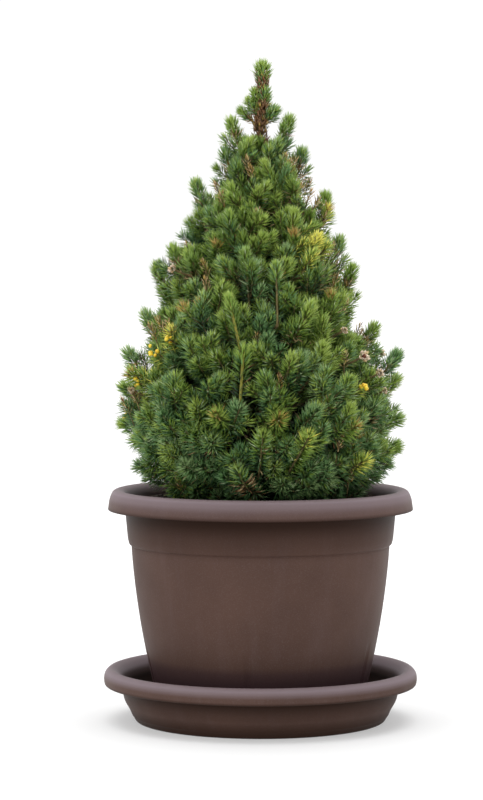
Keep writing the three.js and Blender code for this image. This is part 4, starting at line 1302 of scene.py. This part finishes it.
def bead(centre, radii):
    """A rounded bead: an octahedron cut finer once and blown up to an ellipsoid, as points and faces."""
    corners = [(1, 0, 0), (-1, 0, 0), (0, 1, 0), (0, -1, 0), (0, 0, 1), (0, 0, -1)]
    corners += [tuple(np.add(corners[a], corners[b])) for a in (0, 1) for b in (2, 3)]
    corners += [tuple(np.add(corners[a], corners[b])) for a in (0, 1, 2, 3) for b in (4, 5)]
    points = unit(np.array(corners, float))
    faces = []
    for i, j, k in ((a, b, c) for a in (0, 1) for b in (2, 3) for c in (4, 5)):
        x, y, z = (corners.index(tuple(np.add(corners[p], corners[q]))) for p, q in ((i, j), (j, k), (k, i)))
        four = [(i, x, z), (x, j, y), (z, y, k), (x, y, z)]
        inward = np.linalg.det(points[[i, j, k]]) < 0
        faces += [f[::-1] if inward else f for f in four]
    return centre + points * radii, np.array(faces)


def add_buds():
    """Yellow buds in small groups at the ends of short shoots."""
    draw = np.random.default_rng(BUD_SEED)
    for i, (degrees, height, count) in enumerate(BUD_CLUSTERS):
        tip, root = on_crown(degrees, height, -8), on_crown(degrees, height, -38, 16)
        line = root[None], lerp(root, tip, 0.5)[None] - 2 * UP, tip[None]
        shoot = Shoots(*line, open=0.8, fresh=0.8, warm=1, yellow=0.12)
        dress(shoot, [(BUD_NEEDLES, 4, 32, NEEDLE_WIDTH)], BUD_SEED + 100 + i)
        add_twigs(*line, 1.2, 0.8)
        add_limbs(trunk_at(height - 2 * CARRIED)[None], root[None], [1.6, 1.4, 1.2], 5)
        for _ in range(count):
            offset = draw.normal(0, 2.4, 3) + 3 * polar(math.radians(degrees), 1, 0)
            bud_parts.append(bead(tip + offset, BUD_SIZE * draw.uniform(0.75, 1.15, 3)))


DRY_BUDS = [  # azimuth, height, reach past the crown's and size of pale, opened buds; 1 where a core shows
    (-39, 363, 1, 1.0, 1), (-28, 346, -1, 0.75, 0), (-24, 329, -2, 0.6, 0), (-42, 388, -3, 0.65, 0),
    (-152, 447, -2, 0.8, 0), (-158, 329, -2, 0.7, 0), (-17, 509, -3, 0.7, 0), (18, 362, 0, 0.9, 1),
    (98, 452, -3, 0.7, 0), (131, 388, 0, 0.8, 1), (64, 330, -3, 0.7, 0),
]
PETALS, PETAL_LENGTH, PETAL_WIDTH, CORE_RADIUS = 9, 6.5, 4.2, 2.4
PETAL_RINGS = ((1.1, 1.9), (0.55, 1.2))  # how far the scales spread and stand out
DRY_TUFTS = [  # azimuth, height and reach past the crown's of little dry shoots
    (-24, 515, -3), (-17, 500, -3), (-24, 533, -4), (-31, 522, -4), (-142, 529, -4), (-131, 519, -5),
    (-107, 553, -5), (-102, 544, -5), (-53, 557, -5), (-49, 551, -5), (-155, 392, -2), (-150, 398, -3),
    (-158, 330, -3), (-168, 318, -2), (-40, 250, -12), (-140, 246, -12), (-50, 244, -16),
]
MORE_TUFTS, TUFT_NEEDLES = 30, 20


def add_dry_buds():
    """Pale, opened buds: two rings of papery scales round a dark middle, facing out of the crown."""
    draw = np.random.default_rng(DRY_BUD_SEED)
    for degrees, height, past, size, core in DRY_BUDS:
        tip, root = on_crown(degrees, height, past - 3), on_crown(degrees, height, past - 29, 9)
        add_twigs(root[None], lerp(root, tip, 0.5)[None] - 2 * UP, tip[None], 1.1, 1.1, 6, 5)
        facing = np.array([0, -1 if math.sin(math.radians(degrees)) < 0 else 1, 0.15])
        forward = unit(lerp(unit(tip - root), facing, 0.45))[None]
        for ring, (spread, out_by) in enumerate(PETAL_RINGS):
            out = around(forward, 2 * np.pi * (np.arange(PETALS) + 0.5 * ring) / PETALS)
            way = unit(forward + spread * out + draw.normal(0, 0.22, (PETALS, 3)))
            length = size * PETAL_LENGTH * draw.uniform(0.6, 1.15, (PETALS, 1))
            base = tip + size * out_by * out
            petals = needle_solids(base, way, forward + 0 * out, length, size * PETAL_WIDTH)
            for k, colour in enumerate(("petal", "tan", "petal")):
                needle_parts[colour].append(petals[k::3])
        if core:
            core_parts.append(bead(tip + 2.2 * forward[0], size * CORE_RADIUS))


def add_dry_tufts():
    """Short shoots whose needles have dried, mostly near the crown's outline and in the skirt."""
    draw = np.random.default_rng(DRY_TUFT_SEED)
    rows = [(math.radians(a), z, past) for a, z, past in DRY_TUFTS]
    for _ in range(MORE_TUFTS):
        rows.append((2 * np.pi * draw.random(), draw.uniform(240, 565), draw.uniform(-13, -5)))
    azimuth, height, past = np.array(rows).T
    reach = np.vectorize(crown_reach)(height, azimuth) + past
    tip = polar(azimuth, reach, height)
    root = polar(azimuth + draw.normal(0, 0.05, len(rows)), reach - 9, height - 26)
    bend = lerp(root, tip, 0.5) - 2 * polar(azimuth, 1, 0)
    shoots = Shoots(root, bend, tip, open=0.1, size=0.66)
    solids = needle_solids(*needle_field(shoots, TUFT_NEEDLES, 0, 16, draw)[1:], 1.2)
    deal_dry(solids, [0.3, 0.2, 0.5], draw, clear_of_pot(solids))
    add_twigs(root, bend, tip, 0.8, 0.5)


# ---- the leader

LEADER_CLUBS = [
    # azimuth, reach and height of the tip; how far below it the root is; the club's length and size
    (-60, 7, 628, 30, 11, 0.9), (-150, 8, 627, 30, 11, 0.86), (205, 13, 618, 26, 11, 0.86),
    (186, 19, 609, 26, 10, 0.86), (-20, 14, 609, 26, 12, 1.0), (60, 8, 625, 34, 12, 0.9),
    (120, 9, 618, 30, 12, 0.9), (95, 14, 608, 26, 12, 0.92), (30, 12, 611, 26, 12, 0.9),
]
CROWN_TOP = [(20 + 40 * i, 9 + 6 * (i % 3), 570 + 11 * (i * 4 % 9) / 8, 26, 14, 1.0) for i in range(9)]
TUFT_HEIGHT, TUFT_CLUB = 655, 14
TRUNK_SCALES, SCALES_FROM, SCALES_TO = 680, 564, 636
# Needles as on the other shoots: the leader's stems are nearly bare, those of the crown's top are not
LEADER_CLUB = (140, 0, 13, NEEDLE_WIDTH)
LEADER_STEM, TOP_STEM = (12, 13, 24, NEEDLE_WIDTH), (40, 13, 24, NEEDLE_WIDTH)
TUFT_FIELDS = [(200, 0, TUFT_CLUB, NEEDLE_WIDTH), (40, TUFT_CLUB, 22, NEEDLE_WIDTH)]
LEADER_SEED, TUFT_SEED, TRUNK_SCALE_SEED = 90000, 91000, 92000


def leader_lines(rows):
    """Shoots that leave the trunk at a steep angle and then run up beside it."""
    azimuth, reach, height, drop = (np.array(column, float) for column in list(zip(*rows))[:4])
    aside = polar(np.radians(azimuth), reach, 0)
    tip = trunk_at(height - TIP_NEEDLES) + aside
    root = trunk_at(height - drop)
    return root, lerp(root, tip, 0.5) - 0.1 * aside, tip


def add_leader():
    for i, (rows, stem) in enumerate(((LEADER_CLUBS, LEADER_STEM), (CROWN_TOP, TOP_STEM))):
        lines = leader_lines(rows)
        n = len(rows)
        fresh, warm = rng.normal(0.32, 0.12, n), rng.normal(0.6, 0.15, n)
        club, size = (np.array(column, float) for column in list(zip(*rows))[4:])
        clubs = Shoots(*lines, fresh=fresh, warm=warm, club=club, size=size, dry=0.5, open=-1, girth=1.3)
        dress(clubs, [LEADER_CLUB, stem], LEADER_SEED + 100 * i)
        add_scales(clubs, LEADER_SEED + 100 * i + 1)
        add_twigs(*lines, 1.7, 0.8, 6, 6)
    root, tip = trunk_at(TRUNK_TIP - 6)[None], trunk_at(TUFT_HEIGHT - TIP_NEEDLES - 2.5)[None]
    line = root, lerp(root, tip, 0.5), tip
    tuft = Shoots(*line, fresh=0.5, warm=0.6, club=TUFT_CLUB, open=-1, size=1.05, girth=3)
    dress(tuft, TUFT_FIELDS, TUFT_SEED)
    add_scales(tuft, TUFT_SEED + 1)
    add_twigs(*line, 1.8, 0.8, 6, 4)
    add_trunk_scales()


def add_trunk_scales():
    """Dry bud scales and needles that lie against the trunk's bare top."""
    draw = np.random.default_rng(TRUNK_SCALE_SEED)
    height = draw.uniform(SCALES_FROM, SCALES_TO, TRUNK_SCALES)
    turn = 2 * np.pi * draw.random(TRUNK_SCALES)
    out = polar(turn, 1, 0)
    base = trunk_at(height) + out * (trunk_radius(height) + draw.uniform(-0.4, 3.2, TRUNK_SCALES))[:, None]
    way = unit(UP + draw.uniform(0.1, 0.95, (TRUNK_SCALES, 1)) * out)
    solids = needle_solids(base, way, UP + 0 * out, draw.uniform(4.5, 9, (TRUNK_SCALES, 1)), 1.9)
    deal_dry(solids, [0.14, 0.82, 0.04], draw)


# ---- stage

WHITE = (1, 1, 1, 1)
WORLD_LIGHT = 1.04
FLOOR, FLOOR_REACH = linear(184, 184, 184), 30  # metres
FLOOR_GLOW = [(0, 0.36), (0.15, 0.4), (1, 0.6)]  # from the near to the far end of that span, strength
GLOW_FROM, GLOW_TO = 0.14, 1.6  # metres from the middle
SOFTBOXES = [  # place and size in metres, and power in watts
    ("softbox_top", (0.0, 0.3, 2.6), 2.6, 60), ("softbox_left", (-2.2, -2.0, 1.9), 1.8, 13),
    ("softbox_right", (2.3, -1.6, 1.7), 1.8, 0.3),
]
LIT_HEIGHT = 0.32  # metres, where the lamps point


def add_stage():
    bpy.context.scene.view_settings.view_transform = "Standard"
    world = bpy.data.worlds.new("studio")
    bpy.context.scene.world = world
    world.use_nodes = True
    background = world.node_tree.nodes["Background"]
    background.inputs["Color"].default_value = WHITE
    background.inputs["Strength"].default_value = WORLD_LIGHT
    add_floor()
    for softbox in SOFTBOXES:
        add_light(*softbox)


def add_floor():
    """A pale floor that glows a little, and more so far from the pot."""
    mesh = bpy.data.meshes.new("floor")
    corners = [(x * FLOOR_REACH, y * FLOOR_REACH, 0) for x, y in ((-1, -1), (1, -1), (1, 1), (-1, 1))]
    mesh.from_pydata(corners, [], [(0, 1, 2, 3)])
    n = Nodes("floor", Base_Color=FLOOR, Roughness=0.8, Specular_IOR_Level=0.2, Emission_Color=WHITE)
    distance = n.add("VectorMath", {"operation": "LENGTH"})
    n.put(n.place(), distance.inputs[0])
    far = n.spread(distance.outputs["Value"], GLOW_FROM, GLOW_TO)
    n.set(n.shader, Emission_Strength=n.ramp(far, *FLOOR_GLOW))
    mesh.materials.append(n.material)
    floor = add_object("floor", mesh)


def add_light(name, place, size, power):
    light = bpy.data.lights.new(name, "AREA")
    light.size, light.energy = size, power
    lamp = add_object(name, light)
    lamp.location = place
    x, y, z = np.array([0, 0, LIT_HEIGHT]) - np.array(place)
    lamp.rotation_euler = (math.acos(-z / math.hypot(x, y, z)), 0, math.atan2(y, x) - math.pi / 2)


add_camera()
add_stage()
add_pot()
add_soil()
add_trunk()
add_low_boughs()
add_crown()
add_features()
add_buds()
add_dry_buds()
add_dry_tufts()
add_leader()
add_needles()
add_joined("twigs", twig_parts, TWIG_BARK, "bark")
add_joined("pale_twigs", pale_twig_parts, PALE_BARK, "bark")
add_joined("yellow_buds", bud_parts, bud_material(), "needles")
add_joined("bud_core", core_parts, BUD_CORE, "bark")
add_joined("boughs", bough_parts, BARK, "bark")
